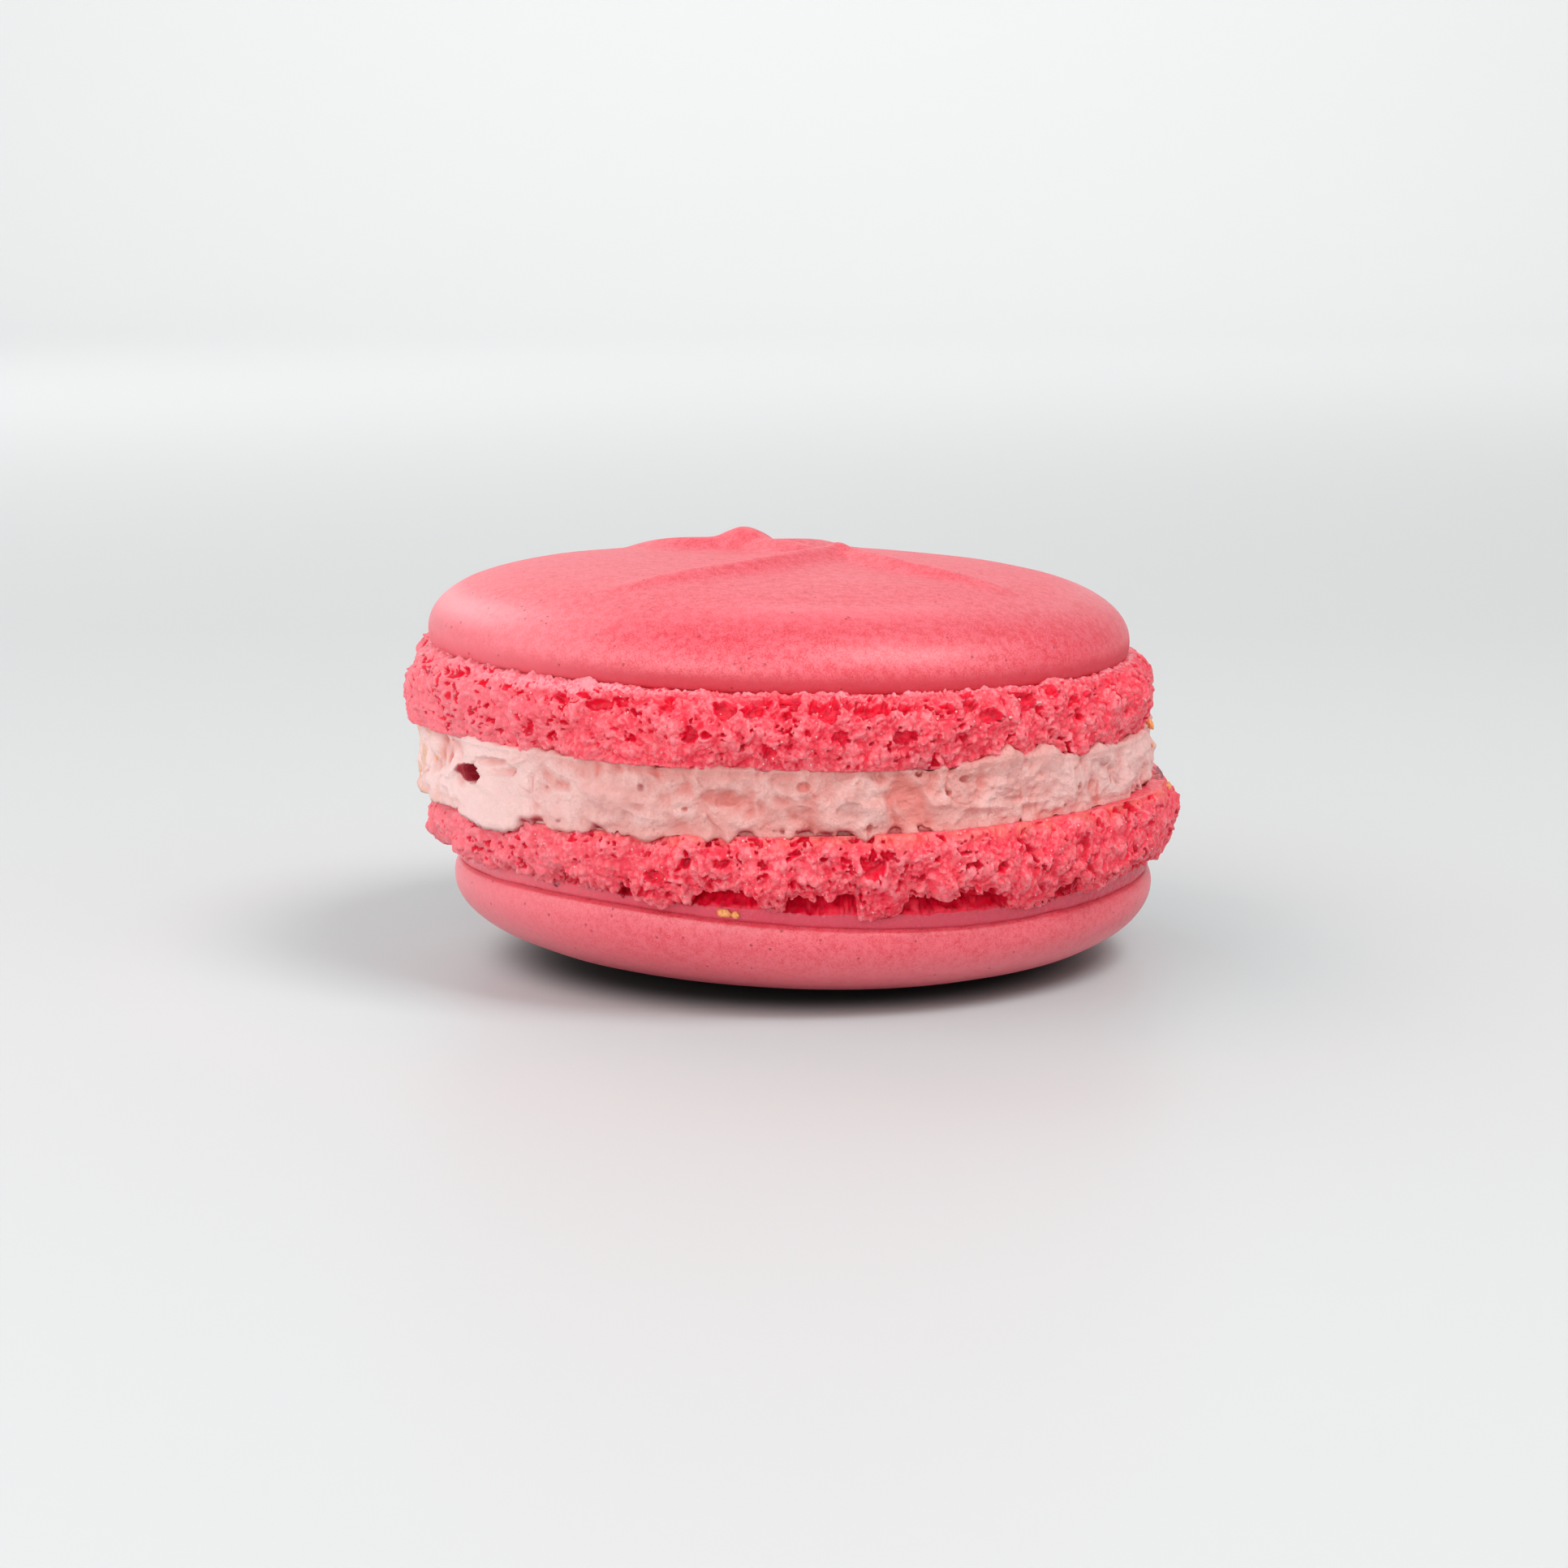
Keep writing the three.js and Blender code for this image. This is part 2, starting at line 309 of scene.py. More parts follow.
def closed_mesh(name, rings, marks):
    """A mesh from rings of points in millimetres, as a grid (bodies, rows, columns, 3) or one body
    of it. Quads join each ring to the next, and a fan to its mean point closes the first and the
    last. marks are named values on the points, in grids of the same shape, and 0 in the fans'
    middles."""
    rings = rings.reshape(-1, *rings.shape[-3:])
    bodies, rows, width, _ = rings.shape
    poles = rings[:, [0, -1]].mean(axis=2)
    points = np.concatenate([rings.reshape(bodies, -1, 3), poles], axis=1)
    here = np.arange(rows * width).reshape(rows, width)
    after = np.roll(here, -1, axis=1)
    first, last = (np.full(width, rows * width + n) for n in (0, 1))
    quads = np.stack([here[:-1], after[:-1], after[1:], here[1:]], axis=-1).reshape(-1, 4)
    fans = np.concatenate([np.stack([first, after[0], here[0]], axis=-1),
                           np.stack([here[-1], after[-1], last], axis=-1)])
    base = np.arange(bodies)[:, None, None] * points.shape[1]
    quads = (quads[None] + base).reshape(-1, 4)
    fans = (fans[None] + base).reshape(-1, 3)
    mesh = bpy.data.meshes.new(name)
    mesh.vertices.add(points.size // 3)
    mesh.vertices.foreach_set("co", (points * MM).astype(np.float32).ravel())
    corners = np.concatenate([quads.ravel(), fans.ravel()]).astype(np.int32)
    starts = np.concatenate([np.arange(len(quads)) * 4, quads.size + np.arange(len(fans)) * 3])
    mesh.loops.add(len(corners))
    mesh.loops.foreach_set("vertex_index", corners)
    mesh.polygons.add(len(starts))
    mesh.polygons.foreach_set("loop_start", starts.astype(np.int32))
    mesh.polygons.foreach_set("use_smooth", np.ones(len(starts), dtype=bool))
    for mark, values in marks.items():
        values = np.broadcast_to(values, rings.shape[:-1]).reshape(bodies, -1)
        values = np.concatenate([values, np.zeros((bodies, 2))], axis=1)
        attribute = mesh.attributes.new(mark, "FLOAT", "POINT")
        attribute.data.foreach_set("value", values.astype(np.float32).ravel())
    mesh.update(calc_edges=True)
    mesh.validate()
    return mesh


def add_piece(name, rings, marks, material, node=None):
    """A piece of the macaron: its closed mesh and material, riding on the body, standing for a
    CAD node where one is named."""
    piece = bpy.data.objects.new(name, closed_mesh(name, rings, marks))
    bpy.context.scene.collection.objects.link(piece)
    piece.data.materials.append(material)
    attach(piece, BODY)
    if node:
        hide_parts(node)
    return piece


# ---- Shader maths --------------------------------------------------------------------------------


class Wire:
    """A value in a finish's nodes. Its sums, differences and products are Math nodes."""

    def __init__(self, finish, socket):
        self.finish = finish
        self.socket = socket

    def maths(self, operation, *terms):
        return self.finish.node("ShaderNodeMath", {"operation": operation}, dict(enumerate(terms)))

    def __add__(self, other):
        return self.maths("ADD", self, other)

    def __sub__(self, other):
        return self.maths("SUBTRACT", self, other)

    def __rsub__(self, other):
        return self.maths("SUBTRACT", other, self)

    def __mul__(self, other):
        return self.maths("MULTIPLY", self, other)

    __radd__ = __add__
    __rmul__ = __mul__


class Finish:
    """A new material, and short ways to the nodes that its finish is made of."""

    def __init__(self, name):
        self.material = bpy.data.materials.new(name)
        self.material.use_nodes = True
        self.material.node_tree.nodes.clear()
        self.here = self.node("ShaderNodeTexCoord", output="Object")

    def node(self, kind, settings=None, values=None, output=0):
        """Adds a node, sets its settings, then the values or wires of its sockets."""
        made = self.material.node_tree.nodes.new(kind)
        for name, value in (settings or {}).items():
            setattr(made, name, value)
        for name, value in (values or {}).items():
            if isinstance(value, Wire):
                self.material.node_tree.links.new(value.socket, made.inputs[name])
            else:
                made.inputs[name].default_value = value
        return Wire(self, made.outputs[output]) if len(made.outputs) else made

    def mark(self, name):
        """A value that the mesh carries on its points."""
        return self.node("ShaderNodeAttribute", {"attribute_name": name}, output="Fac")

    def cloud(self, size, detail=2.0, roughness=0.5):
        """Soft noise from 0 to 1, its blots about size millimetres across."""
        values = {"Vector": self.here, "Scale": 1 / (size * MM), "Detail": detail,
                  "Roughness": roughness}
        return self.node("ShaderNodeTexNoise", None, values)

    def dots(self, size, output="Distance", place=None):
        """Scattered centres about size millimetres apart: the distance to the nearest, in sizes, or
        as a Color a draw that is the same all over the cell of each."""
        values = {"Vector": place or self.here, "Scale": 1 / (size * MM)}
        return self.node("ShaderNodeTexVoronoi", None, values, output)

    def shaken(self, size, reach):
        """The place, pushed about by soft noise of that size by up to half of reach millimetres."""
        values = {"Vector": self.here, "Scale": 1 / (size * MM), "Detail": 2.0}
        push = self.node("ShaderNodeTexNoise", None, values, "Color")
        return self.node("ShaderNodeVectorMath", {"operation": "MULTIPLY_ADD"},
                         {0: push, 1: (reach * MM,) * 3, 2: self.here})

    def along(self, axis, low, high):
        """0 where a coordinate in millimetres is low, and 1 where it is high."""
        place = self.node("ShaderNodeSeparateXYZ", None, {0: self.here}, axis)
        return self.step(place, low * MM, high * MM)

    def left_end(self):
        """0 up to the middle, and 1 at the macaron's left end."""
        return self.along("X", -7, -22)

    def step(self, value, low, high):
        """0 below low and 1 above high, smooth between them. low may be the greater, to turn it."""
        settings = {"interpolation_type": "SMOOTHSTEP"}
        return self.node("ShaderNodeMapRange", settings, {0: value, 1: low, 2: high, 3: 0.0, 4: 1.0})

    def blend(self, share, first, second):
        """A colour between two."""
        first, second = (c if isinstance(c, Wire) else (*c, 1.0) for c in (first, second))
        return self.node("ShaderNodeMix", {"data_type": "RGBA"}, {0: share, 6: first, 7: second}, 2)

    def coated(self, base, *coats):
        """A colour under coats of others, each (share, colour), the last on top."""
        for share, coat in coats:
            base = self.blend(share, base, coat)
        return base

    def bump(self, height, depth, under=None):
        """A normal roughened by a height from 0 to 1 that stands for depth millimetres."""
        values = {"Height": height, "Strength": 1.0, "Distance": depth * MM}
        if under:
            values["Normal"] = under
        return self.node("ShaderNodeBump", None, values)

    def surface(self, glow=0.0, glow_radius=(1.0, 0.2, 0.1), glow_depth=0.0, **sockets):
        """Ends the material in a Principled shader. Light glows through by a share, farthest in
        red, to a depth in millimetres. Sockets are named with _ for a space."""
        values = {name.replace("_", " "): value for name, value in sockets.items()}
        if glow:
            values |= {"Subsurface Weight": glow, "Subsurface Radius": glow_radius,
                       "Subsurface Scale": glow_depth * MM}
        shader = self.node("ShaderNodeBsdfPrincipled", None, values)
        self.node("ShaderNodeOutputMaterial", None, {"Surface": shader})
        return self.material


def skin_finish(name, colours, painted_bounce):
    """Satin baked skin. Grain of 0.1 mm over patches of 0.45 mm makes it pale where it is high and
    deep where it is low, over faint mottling. Specks, flecks and, in half of their cells, dark
    pinholes lie on that. The low band over the crease is painted redder and darker, as painted
    shade, and is duller; the plateau about the tip is duller too. A pale painted sheen lies on the
    left end and a painted highlight on the brow, and, by a share given as an argument, pale painted
    bounce light lies all over, most of all underneath."""
    f = Finish(name)
    mottle, patch, grain = f.cloud(1.2, 4.0, 0.65), f.cloud(0.45, 3.0, 0.7), f.cloud(0.1, 3.0, 0.9)
    low, brow = f.mark("low"), f.mark("brow")
    plateau, underneath = f.along("Z", 22.0, 22.8), f.along("Z", 4.2, 0.8)
    height = 0.7 * grain + 0.3 * patch
    pale = f.step(0.65 * grain + 0.35 * patch, 0.44, 0.55) * (1 - 0.85 * low)
    deep = f.step(height, 0.47, 0.38)
    speck, fleck = f.step(f.dots(0.6), 0.16, 0.06), f.step(f.dots(5.3), 0.045, 0.03)
    pinhole = f.step(f.dots(0.8), 0.13, 0.08) * f.step(f.dots(0.8, "Color"), 0.42, 0.43)
    # Painted light: a pale painted sheen on the left end, a painted highlight on the brow, and painted
    # bounce light under the lower cap.
    dusty = 0.5 * f.left_end() * (1 - 0.7 * plateau) + 0.3 * brow + 1.4 * painted_bounce * underneath
    colour = f.coated(
        f.blend(f.step(mottle, 0.3, 0.7), colours.skin_deep, colours.skin),
        # Painted shade: the low band over the crease, darkened towards the pinholes' colour.
        (0.5 * low, colours.pinhole),
        # The lower cap is also paled all over by its share of painted bounce light.
        (painted_bounce + (1 - painted_bounce) * pale, colours.skin_pale),
        (deep, colours.skin_deep),
        (0.5 * speck, colours.skin_deep),
        (0.45 * fleck, colours.skin_pale),
        (dusty, colours.painted_sheen),
        (0.85 * pinhole, colours.pinhole),
    )
    return f.surface(
        Base_Color=colour, Roughness=0.27 + 0.14 * grain + 0.35 * low + 0.14 * plateau,
        Normal=f.bump(1 - pinhole, 0.02, f.bump(height, 0.028)), IOR=1.5, Specular_IOR_Level=0.95,
        glow=0.3, glow_radius=(1.0, 0.2, 0.2), glow_depth=0.8,
    )


def foot_finish(colours):
    """Porous baked foot, gritty throughout with crystals and dust: pale on its crests, partly as a
    painted highlight, painted red in its creases as painted shade, dry by the lower foot's bond,
    frosted under the upper skin, smoother and darker on the lower neck, the darkness partly
    painted shade, with a pale painted sheen on its left end, and painted deep red in its pores
    and caves as painted shade."""
    f = Finish("porous_foot")
    pore, crest, neck, frost, dry = (f.mark(name) for name in ("pore", "crest", "neck", "frost", "dry"))
    crystal = f.step(f.dots(0.19, "Color", f.shaken(0.3, 0.3)), 0.25, 0.75)
    dust, murk, blot = f.cloud(0.11, 3.0, 0.7), f.cloud(0.45, 3.0), f.cloud(1.3, 3.0)
    grit = 0.42 * crystal + 0.58 * dust
    # Painted shade: the deep red of the pores and caves, mottled darker by noise.
    pore_colour = f.blend(0.7 * f.step(murk, 0.42, 0.62), colours.pore, colours.pore_deep)
    colour = f.coated(
        f.blend(f.step(blot, 0.35, 0.65), colours.foot_deep, colours.foot),
        # Pale where crystals and dust lie and, as a painted highlight, where the relief is high.
        (f.step(0.6 * crest + 0.8 * grit, 0.5, 1.2), colours.foot_pale),
        # Painted shade: red where the relief and the grit are low.
        (f.step(0.7 * crest + 0.5 * grit, 0.58, 0.28), colours.foot_red),
        (0.5 * dry * f.step(blot, 0.3, 0.6), colours.foot_dry),
        (frost * f.step(grit + 0.25 * crest, 0.3, 0.65), colours.frost),
        # The neck's darker colour is partly painted shade.
        (neck * f.step(dust, 0.2, 0.5), colours.neck),
        # Painted sheen: pale on the left end.
        (0.62 * f.left_end(), colours.painted_sheen),
        (f.step(pore, 0.1, 0.35), pore_colour),
    )
    return f.surface(
        Base_Color=colour, Roughness=0.54 - 0.24 * crystal, IOR=1.5,
        Normal=f.bump(grit * (1 - 0.6 * neck), 0.075),
        glow=0.35, glow_radius=(1.0, 0.1, 0.13), glow_depth=0.5,
    )


def cream_finish(colours):
    """Whipped buttercream: soft satin with a fine grain and coarser ripples, painted redder and darker
    as painted shade in its holes, nicks and low places and near both bonds, paler at both ends as
    painted light, tan where crumbs stained it, and painted dark red as painted shade in the big
    hole's bottom and the gaps at the lower bond, and on one small fleck."""
    f = Finish("buttercream")
    hollow, stain, tan = f.mark("hollow"), f.mark("stain"), f.mark("tan")
    blot, grain, ripple = f.cloud(1.6, 4.0, 0.6), f.cloud(0.13, 3.0, 0.75), f.cloud(0.5, 4.0, 0.6)
    # Painted light: the filling's two ends, the left one most, are paled.
    ends = f.left_end() + 0.45 * f.along("X", 8, 20)
    colour = f.coated(
        f.blend(f.step(blot, 0.35, 0.65), colours.cream_deep, colours.cream),
        (0.7 * f.step(0.5 * grain + 0.5 * ripple, 0.52, 0.4), colours.cream_deep),
        # Painted shade: redder and darker in the holes, nicks and low places and near both bonds.
        (0.9 * hollow, colours.cream_painted_shade),
        (0.85 * tan, colours.cream_tan),
        # Painted light towards both ends.
        (ends * (1 - hollow) * (1 - tan), colours.cream_painted_light),
        # Painted shade: dark red in the big hole's bottom and the bond gaps, and on one fleck.
        (stain, colours.stain),
    )
    return f.surface(
        Base_Color=colour, Roughness=0.42 + 0.2 * grain, IOR=1.45,
        Normal=f.bump(grain, 0.085, f.bump(ripple, 0.18)),
        glow=0.1, glow_radius=(1.0, 0.5, 0.4), glow_depth=0.5,
    )


def grain_finish(name, pale, deep, roughness, depth):
    """Crumbs or crystals: two blended colours and a rough grain."""
    f = Finish(name)
    grain = f.cloud(0.12, 2.0)
    return f.surface(
        Base_Color=f.blend(f.step(grain, 0.35, 0.65), deep, pale), Roughness=roughness, IOR=1.5,
        Normal=f.bump(grain, depth), glow=0.3, glow_radius=(1.0, 0.7, 0.4), glow_depth=0.3,
    )


# ---- The caps ------------------------------------------------------------------------------------

# The tip that the piping bag leaves: where it stands, its height and its width.
TIP = ((-1.9, 6.0), 0.85, 1.95)
# The folds of batter that run out from it: where a fold starts and ends, how far it bows to its
# left, its height and its width.
FOLDS = (
    ((3.4, 0.9), (-10.2, -13.0), 1.6, 0.38, 0.95),
    ((3.9, 1.2), (13.8, -9.0), -1.2, 0.36, 0.85),
    ((-1.9, 6.0), (4.4, 0.8), -1.0, 0.45, 1.4),
    ((-2.6, 6.0), (-9.4, 9.2), 1.3, 0.38, 1.3),
    ((-1.6, 7.0), (3.2, 15.0), -1.4, 0.3, 1.5),
)
# The low swelling round the front of the upper cap's shoulder.
BROW_RADIUS = 17.7
BROW_WIDTH = 1.1
BROW_HEIGHT = 0.14
SKIN_WAVES = ((0.05, 5.0), (0.02, 2.1))


def cap_rise(shell, u):
    """Height above the cap's widest ring at the share u of CAP_RADIUS: a straight cone plus a
    dome, cone (1 - u) + dome sqrt(1 - u^DOME_POWER)."""
    dome = np.sqrt(np.clip(1 - u**DOME_POWER, 0, 1))
    return shell.cone_rise * (1 - u) + shell.dome_rise * dome


def piping_relief(points, tip_share, fold_share):
    """The tip and folds: a flat topped bump exp(-d^4) on the tip's point, and gaussian ridges about
    each fold's bowed line, fading along it as 1 - share^3, blended as the root of their squares."""
    at, height, width = TIP
    from_tip = np.linalg.norm(points[..., :2] - np.array(at), axis=-1)
    squares = (tip_share * height * np.exp(-((from_tip / width) ** 4))) ** 2
    for start, end, bow, height, width in FOLDS:
        across, beyond, share = beside(points[..., 0], points[..., 1], start, end, bow)
        distance = np.hypot(across, beyond)
        ridge = fold_share * height * (1 - share**3) * np.exp(-((distance / width) ** 2))
        squares = squares + ridge**2
    return np.sqrt(squares)


def lean_and_wave(shell, points, skin, level):
    """How far each point moves up and out. Up is level (lean x + skin rim wave), where the lean
    goes from the bond face's to the crease's as skin goes from 0 to 1, and rim is
    (r / CAP_RADIUS)^4 up to 1. Out is rim times the outline's relief."""
    height, lobes, crest = shell.wave
    rim = np.minimum(1, np.linalg.norm(points[..., :2], axis=-1) / CAP_RADIUS) ** 4
    wave = height * np.cos(lobes * (azimuth_of(points) - math.radians(crest)))
    bond, crease = (math.tan(math.radians(a)) for a in (shell.bond_lean, shell.crease_lean))
    lean = bond + (crease - bond) * skin
    out = rim * relief(OUTLINE_RELIEF, points, shell.seed_of("outline"))
    return level * (lean * points[..., 0] + skin * rim * wave), out


def cap_rings(shell, tip_share, fold_share):
    """The skin: a hidden underside, a quarter turn that curls out from the crease, then the dome
    in to the middle, flattened to rest where the shell is turned over. The upper cap gets the
    tip, the folds and the brow too. Marks the low band over the upper crease, for painted shade,
    and the brow, for a painted highlight."""
    equator = shell.foot_height + shell.equator_rise
    rest = REST_RADIUS / CAP_RADIUS if shell.turned else 0.0
    squash = (shell.bond_z - equator) / cap_rise(shell, rest) if shell.turned else 1.0

    def tuck(t):
        turn = t * math.pi / 2
        start = shell.foot_height + CREASE_DEPTH
        return NECK_RADIUS + SKIN_TUCK * np.sin(turn), start + (equator - start) * (1 - np.cos(turn))

    def dome(t):
        u = np.cos(t * math.pi / 2) * (1 - rest) + rest
        return CAP_RADIUS * u, equator + squash * cap_rise(shell, u)

    under = (np.array([0.5, 0.9, 0.98, 1.0]) * (NECK_RADIUS - CREASE_DEPTH),
             shell.foot_height + np.array([0.3, 0.3, 0.15, 0.0]))
    dome_shares = even_shares(dome, CAP_ROWS)
    if not shell.turned:
        dome_shares = dome_shares[:-1]
    parts = zip(under, tuck(np.linspace(0, 1, TUCK_ROWS + 1)[:-1]), dome(dome_shares))
    radius, height = (np.concatenate(rows)[:, None] for rows in parts)
    if shell.turned:
        radius = np.concatenate([radius, radius[-1:] * 0.5])
        height = np.concatenate([height, height[-1:]])
    points = lathed(radius, height, columns(CAP_AROUND))
    skin = np.minimum(1, height / shell.foot_height)
    flat = np.clip((radius / CAP_RADIUS - rest) / (1 - rest), 0, 1)
    level = np.where(height > shell.foot_height, flat, 1) if shell.turned else np.ones_like(radius)
    up, out = lean_and_wave(shell, points, skin, level)
    on_dome = ease(height, equator - 0.1, equator + 0.3)
    soft = relief(SKIN_WAVES, points, shell.seed_of("skin"))
    moved = lift(push_out(points, out), up + on_dome * level * soft)
    if shell.turned:
        return placed(shell, moved), {"low": 0.0, "brow": 0.0}
    degrees = np.degrees(azimuth_of(points))
    brow = np.exp(-(((radius - BROW_RADIUS) / BROW_WIDTH) ** 2)) * between(degrees, (-22, 2), (25, 48))
    raised = piping_relief(points, tip_share, fold_share) + BROW_HEIGHT * brow
    # The low band over the crease, where painted shade goes.
    low = ease(height, equator + 0.7, equator - 0.3)
    return placed(shell, lift(moved, on_dome * raised)), {"low": low, "brow": brow}


# ---- The feet ------------------------------------------------------------------------------------

# The feet's own places, as (azimuth in degrees, height in the frame, half width, half height,
# depth): big pores under the crease and pits lower down, then broad soft dents.
UPPER_PORES = (
    (-44.1, 18.2, 0.55, 0.22, 0.5), (-26.4, 17.75, 0.75, 0.34, 0.7), (-23.6, 17.98, 0.5, 0.25, 0.6),
    (-15.9, 17.9, 0.5, 0.2, 0.4), (-7.2, 17.7, 0.75, 0.42, 0.95), (-3.0, 17.66, 0.5, 0.3, 0.7),
    (6.9, 17.61, 0.5, 0.33, 0.8), (12.1, 17.65, 0.6, 0.28, 0.75), (18.0, 17.75, 0.55, 0.16, 0.45),
    (28.4, 17.75, 0.6, 0.33, 0.8), (31.2, 17.1, 0.75, 0.4, 1.0), (38.8, 17.6, 0.7, 0.42, 0.9),
    (-33.0, 16.6, 0.3, 0.25, 0.7), (-35.2, 15.75, 0.5, 0.55, 0.6), (-12.3, 16.4, 0.42, 0.5, 0.7),
    (-9.8, 16.5, 0.3, 0.2, 0.5), (-1.5, 15.4, 0.6, 0.4, 0.6), (8.4, 16.35, 0.6, 0.42, 0.8),
    (17.4, 16.23, 0.95, 0.42, 0.75), (-18.0, 17.1, 0.42, 0.22, 0.5), (42.4, 14.8, 0.5, 0.3, 0.7),
    (-60.4, 15.9, 0.5, 0.6, 0.45), (-52.0, 16.6, 0.4, 0.3, 0.45), (-2.0, 15.9, 0.2, 0.2, 0.4),
)
UPPER_DENTS = (
    (-34.5, 16.0, 1.1, 0.75, 0.45), (-88.0, 18.3, 3.5, 1.3, 0.55), (-70.0, 16.6, 1.4, 0.7, 0.35),
)
LOWER_PORES = (
    (-11.9, 9.25, 0.6, 0.4, 0.7), (-21.4, 8.37, 0.45, 0.4, 0.7), (10.0, 9.2, 0.85, 0.9, 0.7),
    (11.6, 9.7, 0.5, 0.35, 0.7), (57.1, 8.2, 0.5, 0.55, 0.9), (46.0, 9.0, 0.35, 0.7, 0.6),
    (29.3, 8.67, 0.4, 0.35, 0.6), (17.3, 8.3, 0.3, 0.22, 0.5), (3.1, 9.65, 0.3, 0.25, 0.5),
    (-16.5, 9.1, 0.28, 0.22, 0.5), (-5.6, 9.2, 0.5, 0.25, 0.6), (-46.0, 8.8, 0.4, 0.5, 0.5),
    (-36.0, 7.6, 0.6, 0.3, 0.6), (-30.0, 7.1, 0.4, 0.25, 0.5), (-24.0, 7.35, 0.55, 0.3, 0.6),
)
LOWER_DENTS = ((88.0, 10.9, 2.6, 1.5, 0.9), (-62.0, 8.6, 1.2, 0.8, 0.3), (-88.0, 8.8, 4.0, 1.7, 0.5))
# Arches torn out of the lower foot's edge over a straight sill, with a cave behind each: azimuths
# in degrees from and to, and the cave's depth.
CAVES = (
    (-17.5, -6.0, 1.3), (-3.4, 8.8, 1.4), (14.5, 33.0, 1.4),
    (41.0, 47.0, 0.7), (-31.0, -26.0, 0.7), (-40.0, -36.5, 0.6), (62.0, 70.0, 0.9), (88.0, 97.0, 0.9),
    (112.0, 125.0, 1.2), (140.0, 149.0, 1.0), (163.0, 178.0, 1.3), (-170.0, -158.0, 1.1),
    (-140.0, -131.0, 1.2), (-117.0, -102.0, 1.3), (-84.0, -77.0, 0.8),
)
CAVE_END = 1.5  # degrees over which a cave deepens from either end
CAVE_ROOF = 0.3  # how far a cave's roof slopes, as a share of its depth
SILL_DROP = 0.85  # from the crease to the sill
UPPER_OVERLAP = 0.2  # how far the upper foot runs on up inside the skin

# Noise layers (height, grain) of the lower foot's sill and torn edge, of the granules and of the
# pores' outlines. GRANULE_UNIT is the granules' height for which their layers are given.
SILL_RELIEF = ((0.05, 1.2), (0.06, 0.35))
EDGE_RELIEF = ((0.16, 1.3), (0.16, 0.6), (0.16, 0.28))
GRANULES = ((0.16, 1.15), (0.14, 0.55), (0.12, 0.27), (0.05, 0.15))
GRANULE_UNIT = 0.1
PORE_RAGGED = ((0.3, 0.7), (0.3, 0.3))


def ruffle_radius(shell, t, ledge):
    """Radius at the share t of the ruffles' height: a quarter sine from the lip out to the widest
    ring, then ledge + (foot - ledge) sqrt(1 - past^power) in to the ledge's radius."""
    swell = np.sin(math.pi / 2 * np.minimum(1, t / shell.widest_at))
    beyond = np.clip((t - shell.widest_at) / (1 - shell.widest_at), 0, 1)
    shoulder = np.sqrt(np.clip(1 - beyond**shell.shoulder_power, 0, 1))
    out = shell.lip_radius + (shell.foot_radius - shell.lip_radius) * swell
    back = ledge + (shell.foot_radius - ledge) * shoulder
    return np.where(t < shell.widest_at, out, back)


def cave_depth(azimuth, caves):
    """Depth of the caves along the torn edge: each rises over CAVE_END from its two ends."""
    depth = np.zeros_like(azimuth)
    degrees = np.degrees(past(azimuth, 0))
    for start, end, deep in caves:
        here = between(degrees, (start, start + CAVE_END), (end - CAVE_END, end))
        depth = np.maximum(depth, deep * here)
    return depth


def torn_edge(shell, azimuth, facing, caves):
    """How the ruffles end, all round: the caves' depth, the ledge's radius, and the heights of the
    foot's top, of the sill and of the edge. On the lower foot, as it lies, the jagged edge stands
    over the sill by 0.75 of a cave's depth, and on the upper one it meets the skin."""
    ring = lathed(np.array([[shell.ledge_radius]]), np.zeros((1, AROUND)), azimuth)[0]
    uneven = 0.9 + 0.4 * noise(ring, 1.1, shell.seed_of("cave"))
    cave = cave_depth(facing, caves) * uneven
    if not shell.turned:
        top = shell.foot_height + UPPER_OVERLAP
        edge = np.full_like(azimuth, top - 0.03)
        return cave, np.full_like(azimuth, NECK_RADIUS + 0.12), top, edge, edge
    top = shell.foot_height
    sill = top - SILL_DROP + relief(SILL_RELIEF, ring, shell.seed_of("sill"))
    jag = relief(EDGE_RELIEF, ring, shell.seed_of("edge"))
    edge = sill - 0.75 * np.minimum(cave, 1.2) + jag * (0.5 + 0.5 * np.minimum(cave, 1))
    return cave, 21.2 + 0.5 * np.clip(cave, 0, 1), top, sill, edge


